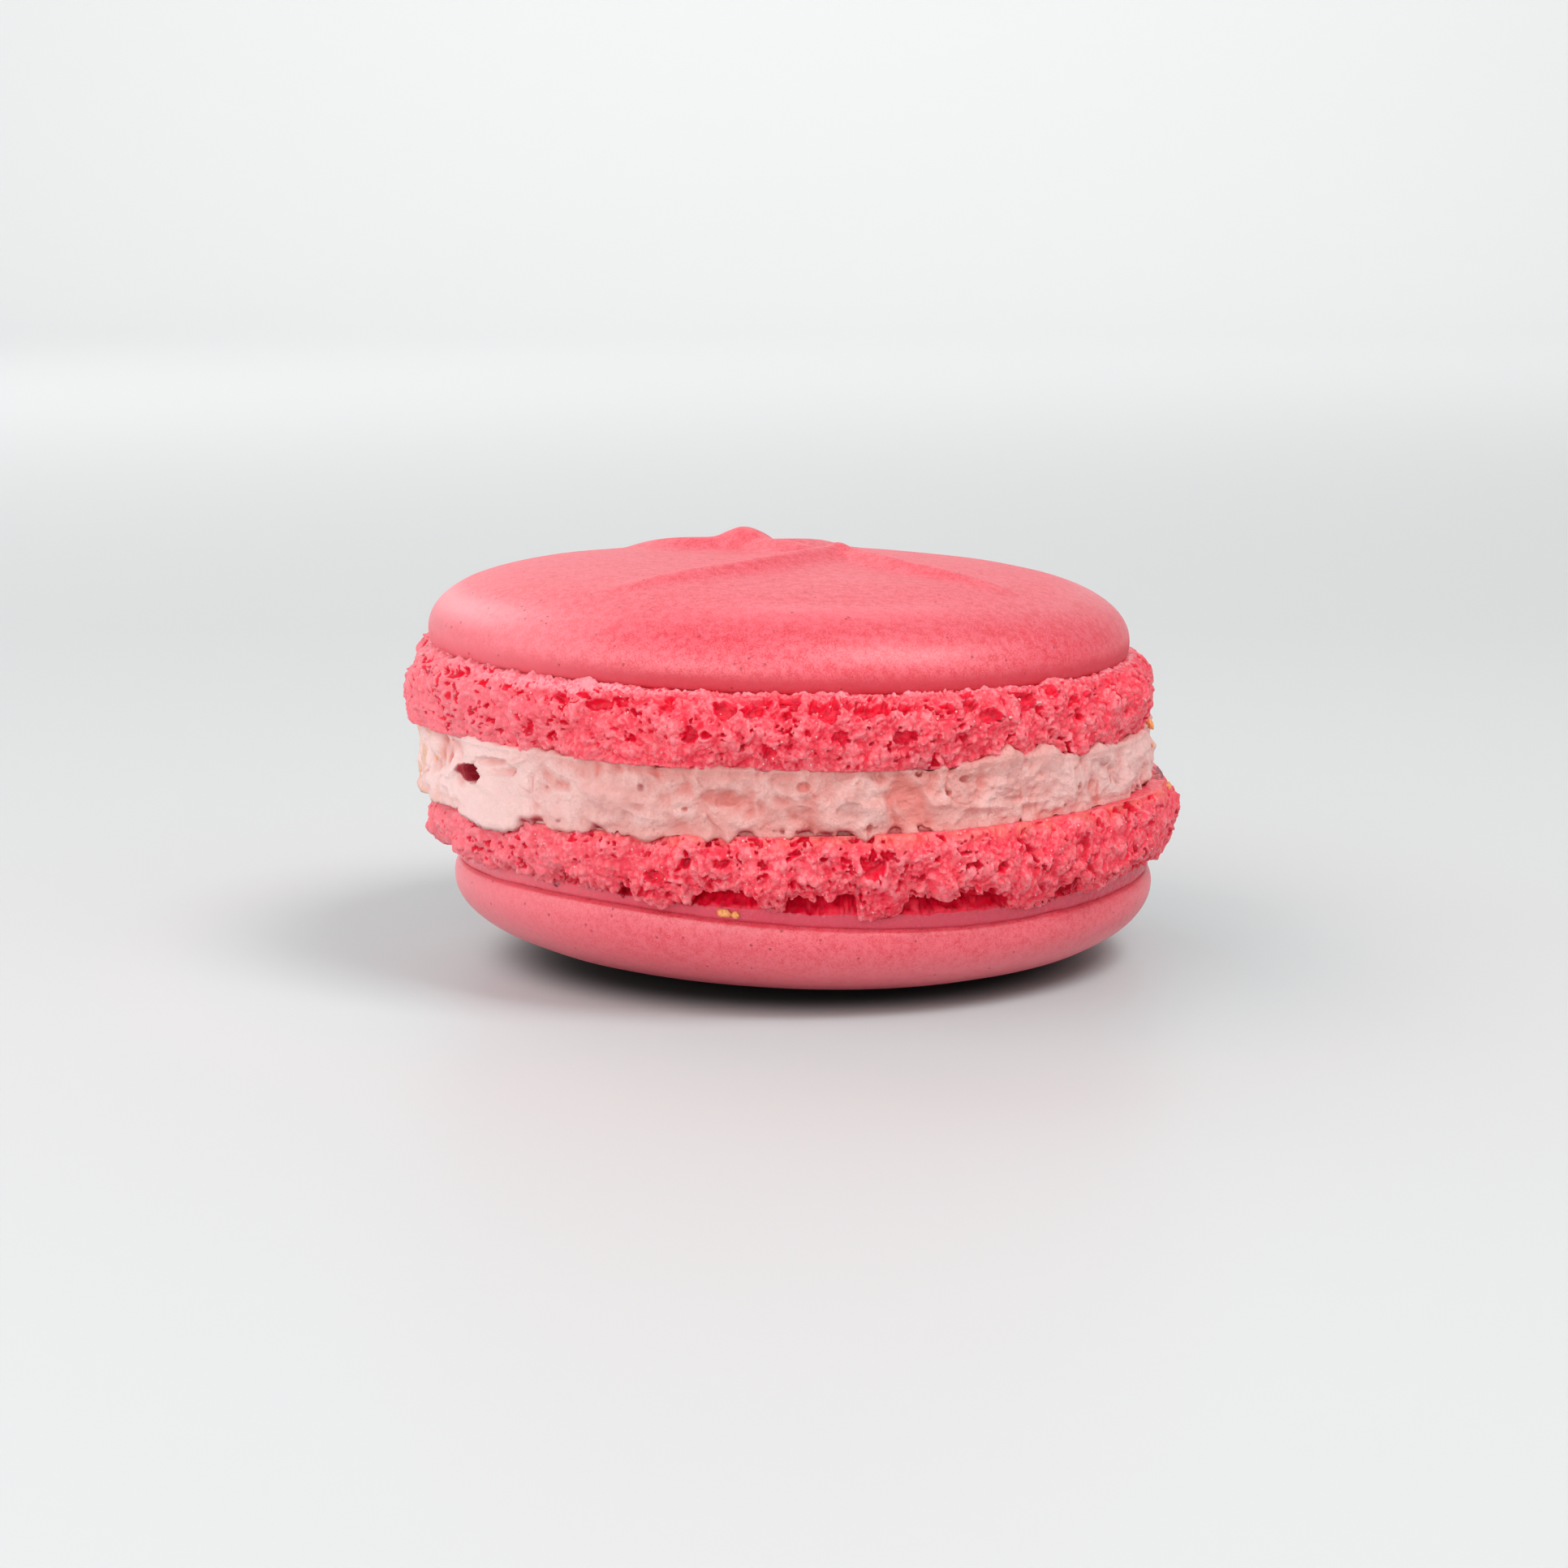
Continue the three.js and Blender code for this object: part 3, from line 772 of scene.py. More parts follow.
def foot_base(shell, azimuth, facing, caves):
    """The foot before its granules and pores: a hidden bond face, the ruffles, the roof and wall of
    the caves, the neck and a hidden top, with the relief that the solids carry. Gives the points,
    each row's share t of the ruffles' height, what lies on the ruffles, in the caves and on the
    neck as 1 or 0, and the caves' depth."""
    ruffle_rows, roof_rows, wall_rows, neck_rows = FOOT_ROWS[shell.turned]
    cave, ledge_radius, top, sill, edge = torn_edge(shell, azimuth, facing, caves)

    def ruffles(t):
        return ruffle_radius(shell, t, ledge_radius.mean()), edge.mean() * t

    t = even_shares(ruffles, ruffle_rows)[:, None]
    roof = np.linspace(0, 1, roof_rows + 2)[1:-1, None]
    wall = np.linspace(0, 1, wall_rows)[:, None]
    neck = np.linspace(0, 1, neck_rows + 1)[1:, None]
    inner = NECK_RADIUS - cave
    mouth = np.clip(sill - edge, 0.02, 0.85 * (top - edge))
    face = np.array([0.6, 0.93, 0.985])[:, None] * shell.lip_radius
    hidden = np.array([0.97, 0.7])[:, None] * NECK_RADIUS
    radius, height = stack_rows(
        (face, 0 * face),
        (ruffle_radius(shell, t, ledge_radius), edge * t),
        (ledge_radius + (inner - ledge_radius) * roof, edge - CAVE_ROOF * cave * np.sin(math.pi / 2 * roof)),
        (inner + (NECK_RADIUS - inner) * wall, edge - CAVE_ROOF * cave * (1 - wall) + mouth * wall),
        (NECK_RADIUS - CREASE_DEPTH * neck**3, edge + mouth + (top - edge - mouth) * neck),
        (hidden, top + 0.2 + 0 * hidden),
    )
    row = np.arange(len(radius))[:, None]
    first, last = len(face), len(face) + ruffle_rows
    cave_last = last + roof_rows + wall_rows
    t = np.clip((row - first) / (last - first), 0, 1)
    on_ruffle = ((row >= first) & (row <= last)).astype(float)
    in_cave = ((row > last) & (row <= cave_last)).astype(float)
    on_neck = ((row > cave_last) & (row < len(row) - 2)).astype(float)

    points = lathed(radius, height, azimuth)
    steady = 1 if shell.turned else 1 - ease(t, 0.75, 1.0)
    ruffle = on_ruffle * np.where(row == first, LIP_SHARE, steady) + NECK_SHARE * (in_cave + on_neck)
    ledge = on_ruffle * t**2 * steady + (0.5 * in_cave if shell.turned else 0)
    up, out = lean_and_wave(shell, points, np.clip(height / shell.foot_height, 0, 1), 1.0)
    out = out + ruffle * relief(FOOT_RELIEF, points, shell.seed)
    up = up + ledge * relief(LEDGE_RELIEF, points, shell.seed_of("ledge"))
    return lift(push_out(points, out), up), t, on_ruffle, in_cave, on_neck, cave


def foot_rings(shell, pores, dents, caves, pore_depth, granule):
    """The foot: its base, then round granules along the normals, pores and bubbles cut back into
    them, and broad dents pushed in. Gives the points and the marks that colour them."""
    azimuth = columns(AROUND)
    facing = -azimuth if shell.turned else azimuth
    points, t, on_ruffle, in_cave, on_neck, cave = foot_base(shell, azimuth, facing, caves)
    fine = warped(tumbled(points), 0.25, 0.8, shell.seed_of("fine"))
    frost = frost_share(shell, facing, t, on_ruffle, on_neck)
    from_lip = ease(t, 0.0, 0.04)
    side_on = np.abs(np.degrees(past(facing, 0)))
    calm = 1 - 0.45 * between(side_on, (55, 78), (110, 130))
    rough = lumps(GRANULES, fine, shell.seed_of("granules")) * granule / GRANULE_UNIT
    reach = calm * (on_ruffle * (0.3 + 0.7 * from_lip) + in_cave) * (1 - 0.2 * frost) + 0.12 * on_neck

    in_frame = placed(shell, points)
    at = azimuth_of(in_frame - np.array([shell.shift, 0, 0]))
    ragged = relief(PORE_RAGGED, fine, shell.seed_of("ragged"))
    chosen = pressed(at, in_frame[..., 2], pores, shell.foot_radius, ragged)
    broad = pressed(at, in_frame[..., 2], dents, shell.foot_radius, 0.4 * ragged)
    if not shell.turned:
        degrees = np.degrees(at)
        sunk = ease(degrees, -41, -36) * ease(degrees - 1.5 * ragged, -31.0, -31.7)
        broad = np.maximum(broad, 0.5 * sunk * ease(in_frame[..., 2], 17.0, 16.2))
    flat = fine * np.array([1, 1, 1.4])
    crowded = 0.28 * np.exp(-(((t - 0.72) / 0.13) ** 2)) * (not shell.turned)
    hole = torn_pores(flat, 1.6 * chosen + crowded, 0.4, shell.seed_of("torn"))
    hole = np.maximum(hole, bubbles(flat, 0.45, 0.35, (0.05, 0.18), shell.seed_of("bubbles")))
    hole = hole * (on_ruffle * from_lip * (1 - 0.6 * frost) + 0.4 * in_cave) * pore_depth
    height = reach * rough * (1 - 0.6 * np.clip(hole / 0.3, 0, 1)) - hole
    points = points + outward(points) * height[..., None]
    marks = {
        # pore and crest lead the painted shade in pores, caves and creases, and the painted highlight on the
        # crests.
        "pore": np.clip(np.maximum(hole / 0.25, in_cave * np.clip(cave / 0.5, 0, 1)), 0, 1),
        "crest": np.clip(0.5 + 2.0 * rough * reach, 0, 1),
        "frost": frost,
        "neck": on_neck,
        "dry": on_ruffle * ease(t, 0.22, 0.02) * shell.turned,
    }
    return placed(shell, push_out(points, -broad * on_ruffle)), marks


def frost_share(shell, facing, t, on_ruffle, on_neck):
    """The pale, dusty band under the upper crease: the neck and the top of the ruffles, from their
    last 6 percent up to their last fifth at the front left. The lower foot has none."""
    if shell.turned:
        return 0 * (on_neck + facing)
    degrees = np.degrees(past(facing, 0))
    start = 1 - (0.06 + 0.16 * between(degrees, (-70, -45), (-30, -12)))
    return 0.9 * np.maximum(on_neck, on_ruffle * ease(t, start - 0.07, start + 0.04))


# ---- The buttercream -----------------------------------------------------------------------------

# Places on the filling, as for the feet: air holes, broad shallow dents, and dark red painted in
# the bottom of the biggest hole, as painted shade, and on one small fleck.
CREAM_HOLES = (
    (-54.8, 12.8, 0.9, 0.58, 1.4), (2.6, 13.54, 0.35, 0.3, 0.3), (19.8, 14.1, 0.2, 0.16, 0.3),
    (-14.5, 12.2, 0.18, 0.14, 0.2), (27.0, 13.6, 0.28, 0.2, 0.35), (24.5, 12.9, 0.2, 0.16, 0.3),
    (48.5, 12.4, 0.2, 0.25, 0.35), (52.5, 12.3, 0.18, 0.3, 0.3), (58.0, 12.3, 0.16, 0.22, 0.25),
    (-44.0, 13.3, 0.12, 0.12, 0.25), (12.0, 11.2, 0.22, 0.28, 0.35),
)
CREAM_DENTS = (
    (-9.3, 12.9, 1.1, 0.5, 0.3), (9.0, 12.2, 0.75, 0.5, 0.25), (-20.0, 12.6, 1.5, 0.9, 0.1),
    (16.0, 13.0, 1.3, 0.8, 0.12), (-33.0, 12.0, 1.6, 0.6, 0.1), (-48.5, 13.55, 2.2, 0.5, 0.42),
)
CREAM_DARK_RED = ((-56.3, 12.8, 1.15, 0.56, 1.9), (-21.1, 13.3, 0.24, 0.24, 0.55))
# Thin raised edges that the knife left: start, end, bow, height and width.
CREAM_RIDGES = (
    ((-4.3, 14.1), (-4.3, 11.5), 0.06, 0.16, 0.16),
    ((21.7, 12.4), (41.8, 11.95), -0.25, 0.22, 0.2),
    ((-53.0, 13.3), (-39.0, 14.7), -0.35, 0.26, 0.24),
    ((17.5, 14.2), (21.5, 12.2), 0.3, 0.18, 0.25),
    ((-58.0, 12.4), (-45.0, 11.6), 0.3, 0.16, 0.35),
    ((-30.0, 12.9), (-20.0, 12.3), 0.2, 0.08, 0.3),
    ((68.0, 13.2), (100.0, 12.2), 0.3, 0.16, 0.3),
    ((120.0, 12.0), (150.0, 13.4), 0.3, 0.18, 0.25),
    ((-150.0, 13.2), (-120.0, 12.2), -0.3, 0.2, 0.25),
    ((165.0, 13.0), (192.0, 12.3), 0.2, 0.15, 0.25),
)
# Dark gaps where the filling doesn't quite meet the lower foot: azimuths in degrees.
BOND_GAPS = (-41.5, -39.5, -28.3, -5.7, 2.8, 5.8, 8.5, 16.0, 75.0, 118.0, 160.0, -155.0, -120.0, -90.0)
BOND_GAP_WIDTH = 1.1
# Noise layers (height, grain) of the soft waves, of the whipped lumps, of the scraped patch and of
# the holes' outlines.
CREAM_WAVES = ((0.28, 1.7), (0.2, 0.8), (0.09, 0.4), (0.04, 0.2))
CREAM_LUMPS = ((0.12, 1.3), (0.05, 0.6), (0.015, 0.3))
CREAM_SCRAPES = ((0.1, 0.42), (0.07, 0.22))
HOLE_RAGGED = ((0.15, 0.7), (0.1, 0.3))


def cream_disc():
    """The filling before it is whipped: a disc whose edge swells as sin^FILLING_POWER between its
    faces, with the solid's relief and the lean of both shells. Gives its points, the share of its
    thickness at which each row lies, and 1 on its side."""
    t = np.linspace(0, 1, CREAM_ROWS + 1)[:, None]
    swell = np.clip(np.sin(math.pi * t), 0, 1) ** FILLING_POWER
    face = np.array([0.6, 0.95])[:, None] * FILLING_RADIUS
    radius, share = stack_rows(
        (face, 0 * face), (FILLING_RADIUS - FILLING_SHOULDER * (1 - swell), t), (face[::-1], 0 * face + 1)
    )
    points = lathed(radius, (UPPER.bond_z - LOWER.bond_z) * share, columns(AROUND))
    edge = np.zeros_like(share)
    edge[len(face):-len(face)] = swell
    low, high = (math.tan(math.radians(shell.bond_lean)) for shell in (LOWER, UPPER))
    out = edge * relief(FILLING_RELIEF, points, FILLING_SEED)
    up = (low + (high - low) * share) * points[..., 0]
    points = lift(push_out(points, out), up) + np.array([FILLING_SHIFT, 0, LOWER.bond_z])
    return points, share, (edge > 0).astype(float)


def knife_ridges(at, z):
    """Height of the raised edges that the knife left: gaussian across each line and beyond its
    ends, fading towards them as a root of sine."""
    height = 0
    for start, end, bow, tall, wide in CREAM_RIDGES:
        x = past(at, math.radians(start[0])) * FILLING_RADIUS
        to = (math.radians(end[0] - start[0]) * FILLING_RADIUS, end[1])
        across, beyond, share = beside(x, z, (0, start[1]), to, bow)
        fade = np.sin(math.pi * np.clip(0.08 + 0.84 * share, 0, 1)) ** 0.5
        height = height + tall * fade * np.exp(-((across / wide) ** 2) - (beyond / wide) ** 2)
    return height


def cream_rings(smear_height, hole_depth):
    """The filling: its disc, pushed along its normals by knife dabs with creases between them (the
    size of a noise), soft waves, whipped lumps and nicks where another noise is near 0, a scraped
    patch, the knife's ridges, air holes and dents. The dabs and waves lie calmer at the back. Its
    edges bulge over both bonds, but for a few gaps at the lower one; a lobe sags over the lower
    foot at the left, and at the right it spills up over the upper foot."""
    points, share, side = cream_disc()
    z, at = points[..., 2], azimuth_of(points - np.array([FILLING_SHIFT, 0, 0]))
    degrees = np.degrees(at)
    fine = tumbled(points)
    wrinkled = warped(fine, 0.5, 1.5, 90)
    calm = 1 - 0.8 * between(degrees, (-60, -54), (-46, -38))
    dabs = np.abs(noise(wrinkled, 2.6, 95)) - 0.35
    nick = (1 - np.abs(noise(wrinkled, 1.3, 88))) ** 12 * ease(noise(fine, 1.2, 89), 0.15, 0.5)
    whipped = lumps(CREAM_LUMPS, wrinkled, 110) * ease(noise(fine, 2.6, 113), -0.3, 0.4)
    height = 3.0 * smear_height * dabs + calm * (relief(CREAM_WAVES, wrinkled, 96) + whipped - 0.12 * nick)
    scraped = between(degrees, (20, 23), (39, 42)) * ease(z, 12.3, 12.7)
    height = height + scraped * (relief(CREAM_SCRAPES, fine, 101) - 0.14) + knife_ridges(at, z)
    ragged = relief(HOLE_RAGGED, fine, 103)
    holes = pressed(at, z, CREAM_HOLES, FILLING_RADIUS, ragged) * hole_depth
    air = bubbles(fine, 0.7, 0.4, (0.04, 0.14), 104) * hole_depth
    dents = pressed(at, z, CREAM_DENTS, FILLING_RADIUS, ragged)
    height = height - np.maximum(holes, air * calm) - dents

    gap = 0.7 * ease(noise(fine, 0.45, 107), 0.5, 0.65) * ease(degrees, -44, -40)
    for place in BOND_GAPS:
        gap = np.maximum(gap, np.exp(-((past(degrees, place, 180) / BOND_GAP_WIDTH) ** 2)))
    near_bond, near_top = ease(share, 0.1, 0.03), ease(share, 0.93, 0.98)
    lobe = np.exp(-(((degrees + 49) / 7) ** 2)) * ease(share, 0.4, 0)
    spill = between(degrees, (27, 32), (42, 46)) * ease(share, 0.8, 1.0)
    spill = spill * (0.6 + 0.6 * noise(fine, 0.8, 105))
    height = height + near_bond * (0.12 + 0.06 * noise(fine, 0.3, 108) - 0.6 * gap) + 0.14 * near_top
    height = height + 0.35 * lobe + 0.35 * spill
    points = points + outward(points) * (side * height)[..., None]
    points = lift(points, side * (0.4 * spill - 0.4 * lobe - 0.03 - 0.08 * near_bond + 0.09 * near_top))

    left_end = between(degrees, (-112, -96), (-76, -60))
    # Painted shade goes in the holes, nicks and low places and near both bonds.
    sunk = 2.8 * np.clip(-height - 0.06, 0, 1) + 0.3 * calm * (ease(share, 0.25, 0.04) + ease(share, 0.8, 1))
    # Where dark red is painted: painted shade in the big hole's bottom and in the gaps at the lower bond,
    # and one small fleck.
    stained = pressed(at, z, CREAM_DARK_RED, FILLING_RADIUS, ragged)
    marks = {
        "hollow": np.clip(side * (np.maximum(holes, air) / 0.3 + 0.7 * nick * calm + sunk), 0, 1),
        "stain": np.clip(stained + gap * ease(share, 0.17, 0.08), 0, 1) * side,
        "tan": 0.8 * side * left_end * ease(noise(fine, 0.9, 106), -0.2, 0.4),
    }
    return points, marks


# ---- Crumbs --------------------------------------------------------------------------------------

# What carries a crumb, its azimuth in degrees, its height, and its half sizes: golden crumbs of nut
# and crust, and the larger sugar crystals.
GOLDEN_CRUMBS = (
    ("lower_foot", -11.9, 5.98, 0.36, 0.26), ("lower_foot", -10.6, 5.88, 0.25, 0.22),
    ("filling_cream", 84.0, 14.2, 0.28, 0.34), ("filling_cream", 80.0, 13.2, 0.16, 0.12),
    ("lower_foot", 88.0, 10.2, 0.4, 0.28), ("lower_foot", 90.0, 9.9, 0.25, 0.2),
    ("filling_cream", -80.0, 14.2, 0.2, 0.16), ("filling_cream", -76.0, 13.5, 0.16, 0.18),
    ("filling_cream", -84.0, 12.8, 0.22, 0.2), ("filling_cream", -70.0, 13.0, 0.12, 0.12),
    ("filling_cream", 130.0, 12.5, 0.2, 0.16), ("upper_foot", 160.0, 16.3, 0.2, 0.16),
    ("lower_foot", -140.0, 8.5, 0.25, 0.2),
)
SUGAR_SPECKS = (
    ("upper_foot", 31.6, 16.85, 0.16, 0.08), ("upper_foot", 37.0, 18.2, 0.1, 0.07),
    ("upper_foot", 38.5, 18.15, 0.09, 0.08), ("upper_foot", 36.0, 18.1, 0.08, 0.07),
)
# Small crystals strewn over each foot: how many, how far out at least, and their half sizes.
SUGAR_COUNT = 260
SUGAR_FROM = 21.6
SUGAR_HALVES = (0.03, 0.065)


def crumb_rings(centres, normals, halves, seed):
    """Small lumps: spheres squashed to their half sizes along the surface, sunk a third into it,
    and roughened by noise. One body of rings for each centre."""
    lat = np.linspace(0.12, 0.88, 7)[:, None] * math.pi
    lon = np.linspace(0, 2 * math.pi, 12, endpoint=False)
    ball = (np.sin(lat) * np.cos(lon), np.sin(lat) * np.sin(lon), -np.cos(lat))
    ball = np.stack(np.broadcast_arrays(*ball), -1)
    side = np.cross(np.array([0.0, 0.0, 1.0]), normals)
    side = side / np.linalg.norm(side, axis=-1, keepdims=True)
    rise = np.cross(normals, side)
    wide, tall = halves[:, 0], halves[:, 1]
    deep = 0.75 * np.minimum(wide, tall)
    frames = np.stack([side * wide[:, None], rise * tall[:, None], normals * deep[:, None]], axis=1)
    rings = np.einsum("rca,bad->brcd", ball, frames)
    spread = ball[None] * 1.3 + 7.0 * np.arange(len(centres))[:, None, None, None]
    rings = rings * (1 + 0.35 * noise(spread, 0.7, seed))[..., None]
    return rings + (centres + normals * deep[:, None] * 0.35)[:, None, None, :]


def surface_of(name):
    """The points of a finished piece in millimetres, and their outward normals."""
    mesh = bpy.data.objects[name].data
    points, normals = (np.zeros(len(mesh.vertices) * 3, dtype=np.float32) for _ in range(2))
    mesh.vertices.foreach_get("co", points)
    mesh.vertex_normals.foreach_get("vector", normals)
    return points.reshape(-1, 3) / MM, normals.reshape(-1, 3)


def resting_places(wanted):
    """For each wanted (piece, azimuth, height and half sizes), the point of that piece's side
    nearest to there, and its normal; and the half sizes."""
    centres, normals = [], []
    for name, azimuth, height, *_ in wanted:
        points, ways = surface_of(name)
        outer = np.linalg.norm(points[:, :2], axis=1) > 19
        a = math.radians(azimuth)
        aim = np.array([FILLING_RADIUS * math.sin(a), -FILLING_RADIUS * math.cos(a), height])
        distance = np.linalg.norm(points - aim, axis=1) + 99 * ~outer
        centres.append(points[distance.argmin()])
        normals.append(ways[distance.argmin()])
    return np.array(centres), np.array(normals), np.array([mark[3:] for mark in wanted])


# ---- Properties ----------------------------------------------------------------------------------


def millimetres(name, description, default):
    """A property for a length given here in millimetres."""
    return bpy.props.FloatProperty(name=name, description=description, default=default * MM,
                                   min=0, unit="LENGTH", precision=5)


def tint(name, description, default):
    """A property for a linear colour."""
    return bpy.props.FloatVectorProperty(name=name, description=description, default=default,
                                         size=3, min=0, max=1, subtype="COLOR")


def times(name, description, default):
    """A property for a plain number that a height, a depth or a light is multiplied by."""
    return bpy.props.FloatProperty(name=name, description=description, default=default)


def watts(name, default):
    """A property for the power of a light."""
    return bpy.props.FloatProperty(name=name, description="Its power", default=default, unit="POWER")


class MACARON_PG_form(bpy.types.PropertyGroup):
    """Heights and depths of what the pieces add to the solids."""

    tip: times("Tip", "Height of the piping tip, as a share", 1.0)
    folds: times("Folds", "Height of the folds, as a share", 1.85)
    pores: times("Pores", "Depth of the feet's pores, as a share", 1.0)
    granule: millimetres("Granules", "Height of the feet's granules", 0.1)
    smear: millimetres("Smears", "Height of the knife's dabs on the filling", 0.09)
    holes: times("Air holes", "Depth of the filling's air holes, as a share", 1.0)


class MACARON_PG_colours(bpy.types.PropertyGroup):
    """Colours of the baked and whipped surfaces."""

    skin: tint("Skin", "The caps", (0.76, 0.033, 0.062))
    skin_deep: tint("Skin, deep", "The caps' darker mottling", (0.70, 0.017, 0.040))
    skin_pale: tint("Skin, pale", "The caps' grain and flecks", (0.83, 0.12, 0.162))
    # Painted light: pale colour for the sheen and haze on the left ends, the highlight on the upper brow and
    # the bounce light under the lower cap.
    painted_sheen: tint("Painted_sheen", "Pale bloom on the left end", (0.95, 0.24, 0.285))
    pinhole: tint("Pinholes", "Pinholes in the caps", (0.42, 0.003, 0.025))
    foot: tint("Foot", "The feet", (0.93, 0.072, 0.104))
    foot_deep: tint("Foot, deep", "The feet's darker blots", (0.94, 0.05, 0.09))
    # foot_pale is partly a painted highlight on the crests, and foot_red is painted shade in the creases.
    foot_pale: tint("Foot, pale", "Crests of the feet", (0.96, 0.23, 0.265))
    foot_red: tint("Foot, red", "Creases of the feet", (0.88, 0.02, 0.06))
    foot_dry: tint("Foot, dry", "The lower foot's dry upper edge", (0.96, 0.17, 0.11))
    # The neck's darker colour is partly painted shade under the lower foot's overhang.
    neck: tint("Neck", "The smooth band between the lower foot and its cap", (0.68, 0.066, 0.112))
    frost: tint("Frost", "The dusty band under the skin", (0.97, 0.33, 0.38))
    # Painted shade: the deep reds of the pores and caves.
    pore: tint("Pores", "Bottoms of the pores", (0.95, 0.004, 0.045))
    pore_deep: tint("Pores, deep", "Darker parts of the pores", (0.62, 0.003, 0.03))
    cream: tint("Cream", "The filling", (0.83, 0.485, 0.45))
    cream_deep: tint("Cream, deep", "The filling's darker blots", (0.74, 0.33, 0.30))
    # Painted shade in the filling's holes, nicks and low places.
    cream_painted_shade: tint("Cream, hollows", "Air holes in the filling", (0.76, 0.22, 0.19))
    # Painted light on the filling's two ends.
    cream_painted_light: tint("Cream, pale", "The filling's two ends", (0.96, 0.67, 0.64))
    # Painted shade in the big hole and the bond gaps, and one fleck, all dark red.
    stain: tint("Dark_red", "Red baked through the filling", (0.36, 0.004, 0.02))
    cream_tan: tint("Cream, tan", "Crumb stained cream", (0.85, 0.50, 0.24))
    crumb: tint("Crumbs", "Golden crumbs", (0.98, 0.46, 0.17))
    crumb_deep: tint("Crumbs, deep", "Their darker grain", (0.85, 0.27, 0.07))
    sugar: tint("Sugar", "Sugar crystals", (0.95, 0.55, 0.55))
    floor: tint("Floor", "Floor and backdrop", (0.652, 0.66, 0.662))


class MACARON_PG_stage(bpy.types.PropertyGroup):
    """The camera and the light."""

    eye: bpy.props.FloatVectorProperty(name="Eye", description="Where the camera stands",
                                       default=(-1.07 * MM, -220 * MM, 45.95 * MM), unit="LENGTH")
    pitch: bpy.props.FloatProperty(name="Pitch", description="How far the camera looks down",
                                   default=math.radians(9.25), subtype="ANGLE")
    lens: bpy.props.FloatProperty(name="Lens", description="Focal length in millimetres", default=84.17)
    overhead: watts("Overhead light", 2.1)
    left: watts("Left light", 3.3)
    front: watts("Front light", 1.3)
    right: watts("Right light", 0.6)
    rim: watts("Rim light", 1.0)
    backdrop: watts("Backdrop light", 15.0)
    air: times("Air light", "Strength of the light all round", 0.31)


# ---- Operators -----------------------------------------------------------------------------------


class MACARON_OT_upper_shell(bpy.types.Operator):
    """Makes the upper shell's satin cap, with its piping tip and folds, and its porous foot"""

    bl_idname = "macaron.upper_shell"
    bl_label = "Bake upper biscuit"

    def execute(self, context):
        form, colours = context.scene.macaron_form, context.scene.macaron_colours
        rings, marks = cap_rings(UPPER, form.tip, form.folds)
        skin = skin_finish("upper_skin", colours, 0.0)
        add_piece("upper_cap", rings, marks, skin, "shell_upper")
        rings, marks = foot_rings(UPPER, UPPER_PORES, UPPER_DENTS, (), form.pores, form.granule / MM)
        add_piece("upper_foot", rings, marks, foot_finish(colours), "shell_upper")
        return {"FINISHED"}


class MACARON_OT_lower_shell(bpy.types.Operator):
    """Makes the lower shell's cap, which the macaron rests on, and its foot with the torn edge"""

    bl_idname = "macaron.lower_shell"
    bl_label = "Bake lower biscuit"

    def execute(self, context):
        form, colours = context.scene.macaron_form, context.scene.macaron_colours
        rings, marks = cap_rings(LOWER, 0, 0)
        skin = skin_finish("lower_skin", colours, 0.35)
        add_piece("lower_cap", rings, marks, skin, "shell_lower")
        rings, marks = foot_rings(LOWER, LOWER_PORES, LOWER_DENTS, CAVES, form.pores, form.granule / MM)
        add_piece("lower_foot", rings, marks, foot_finish(colours), "shell_lower")
        return {"FINISHED"}


class MACARON_OT_filling(bpy.types.Operator):
    """Makes the disc of whipped buttercream between the shells"""

    bl_idname = "macaron.filling"
    bl_label = "Spread filling"

    def execute(self, context):
        form, colours = context.scene.macaron_form, context.scene.macaron_colours
        rings, marks = cream_rings(form.smear / MM, form.holes)
        add_piece("filling_cream", rings, marks, cream_finish(colours), "filling")
        return {"FINISHED"}


class MACARON_OT_crumbs(bpy.types.Operator):
    """Scatters golden crumbs and sugar crystals over the finished feet and filling"""

    bl_idname = "macaron.crumbs"
    bl_label = "Scatter crumbs"

    def execute(self, context):
        colours = context.scene.macaron_colours
        golden = grain_finish("golden_crumb", colours.crumb, colours.crumb_deep, 0.5, 0.08)
        add_piece("golden_crumbs", crumb_rings(*resting_places(GOLDEN_CRUMBS), 200), {}, golden)
        draw = np.random.default_rng(7)
        centres, normals, halves = resting_places(SUGAR_SPECKS)
        for name in ("upper_foot", "lower_foot"):
            points, ways = surface_of(name)
            outer = np.flatnonzero(np.linalg.norm(points[:, :2], axis=1) > SUGAR_FROM)
            picked = draw.choice(outer, SUGAR_COUNT, replace=False)
            centres = np.concatenate([centres, points[picked]])
            normals = np.concatenate([normals, ways[picked]])
            halves = np.concatenate([halves, draw.uniform(*SUGAR_HALVES, (SUGAR_COUNT, 2))])
        sugar = grain_finish("sugar_crystal", colours.sugar, colours.frost, 0.2, 0.01)
        add_piece("sugar_crystals", crumb_rings(centres, normals, halves, 201), {}, sugar)
        return {"FINISHED"}


# Each light's name in the stage's properties, its place and the side of its square in metres, and
# what it faces.
MACARON_MIDDLE = (0, 0, 12 * MM)
LIGHTS = (
    ("overhead", (0.3, -0.2, 0.54), 0.28, MACARON_MIDDLE),
    ("left", (-0.55, -0.2, 0.28), 0.9, MACARON_MIDDLE),
    ("right", (0.5, -0.3, 0.2), 0.5, MACARON_MIDDLE),
    ("front", (-0.16, -0.56, 0.22), 0.42, MACARON_MIDDLE),
    ("rim", (-0.4, 0.5, 0.4), 0.4, MACARON_MIDDLE),
    ("backdrop", (0, 0.75, 1.1), 1.2, (0, 1.5, 0.7)),
)


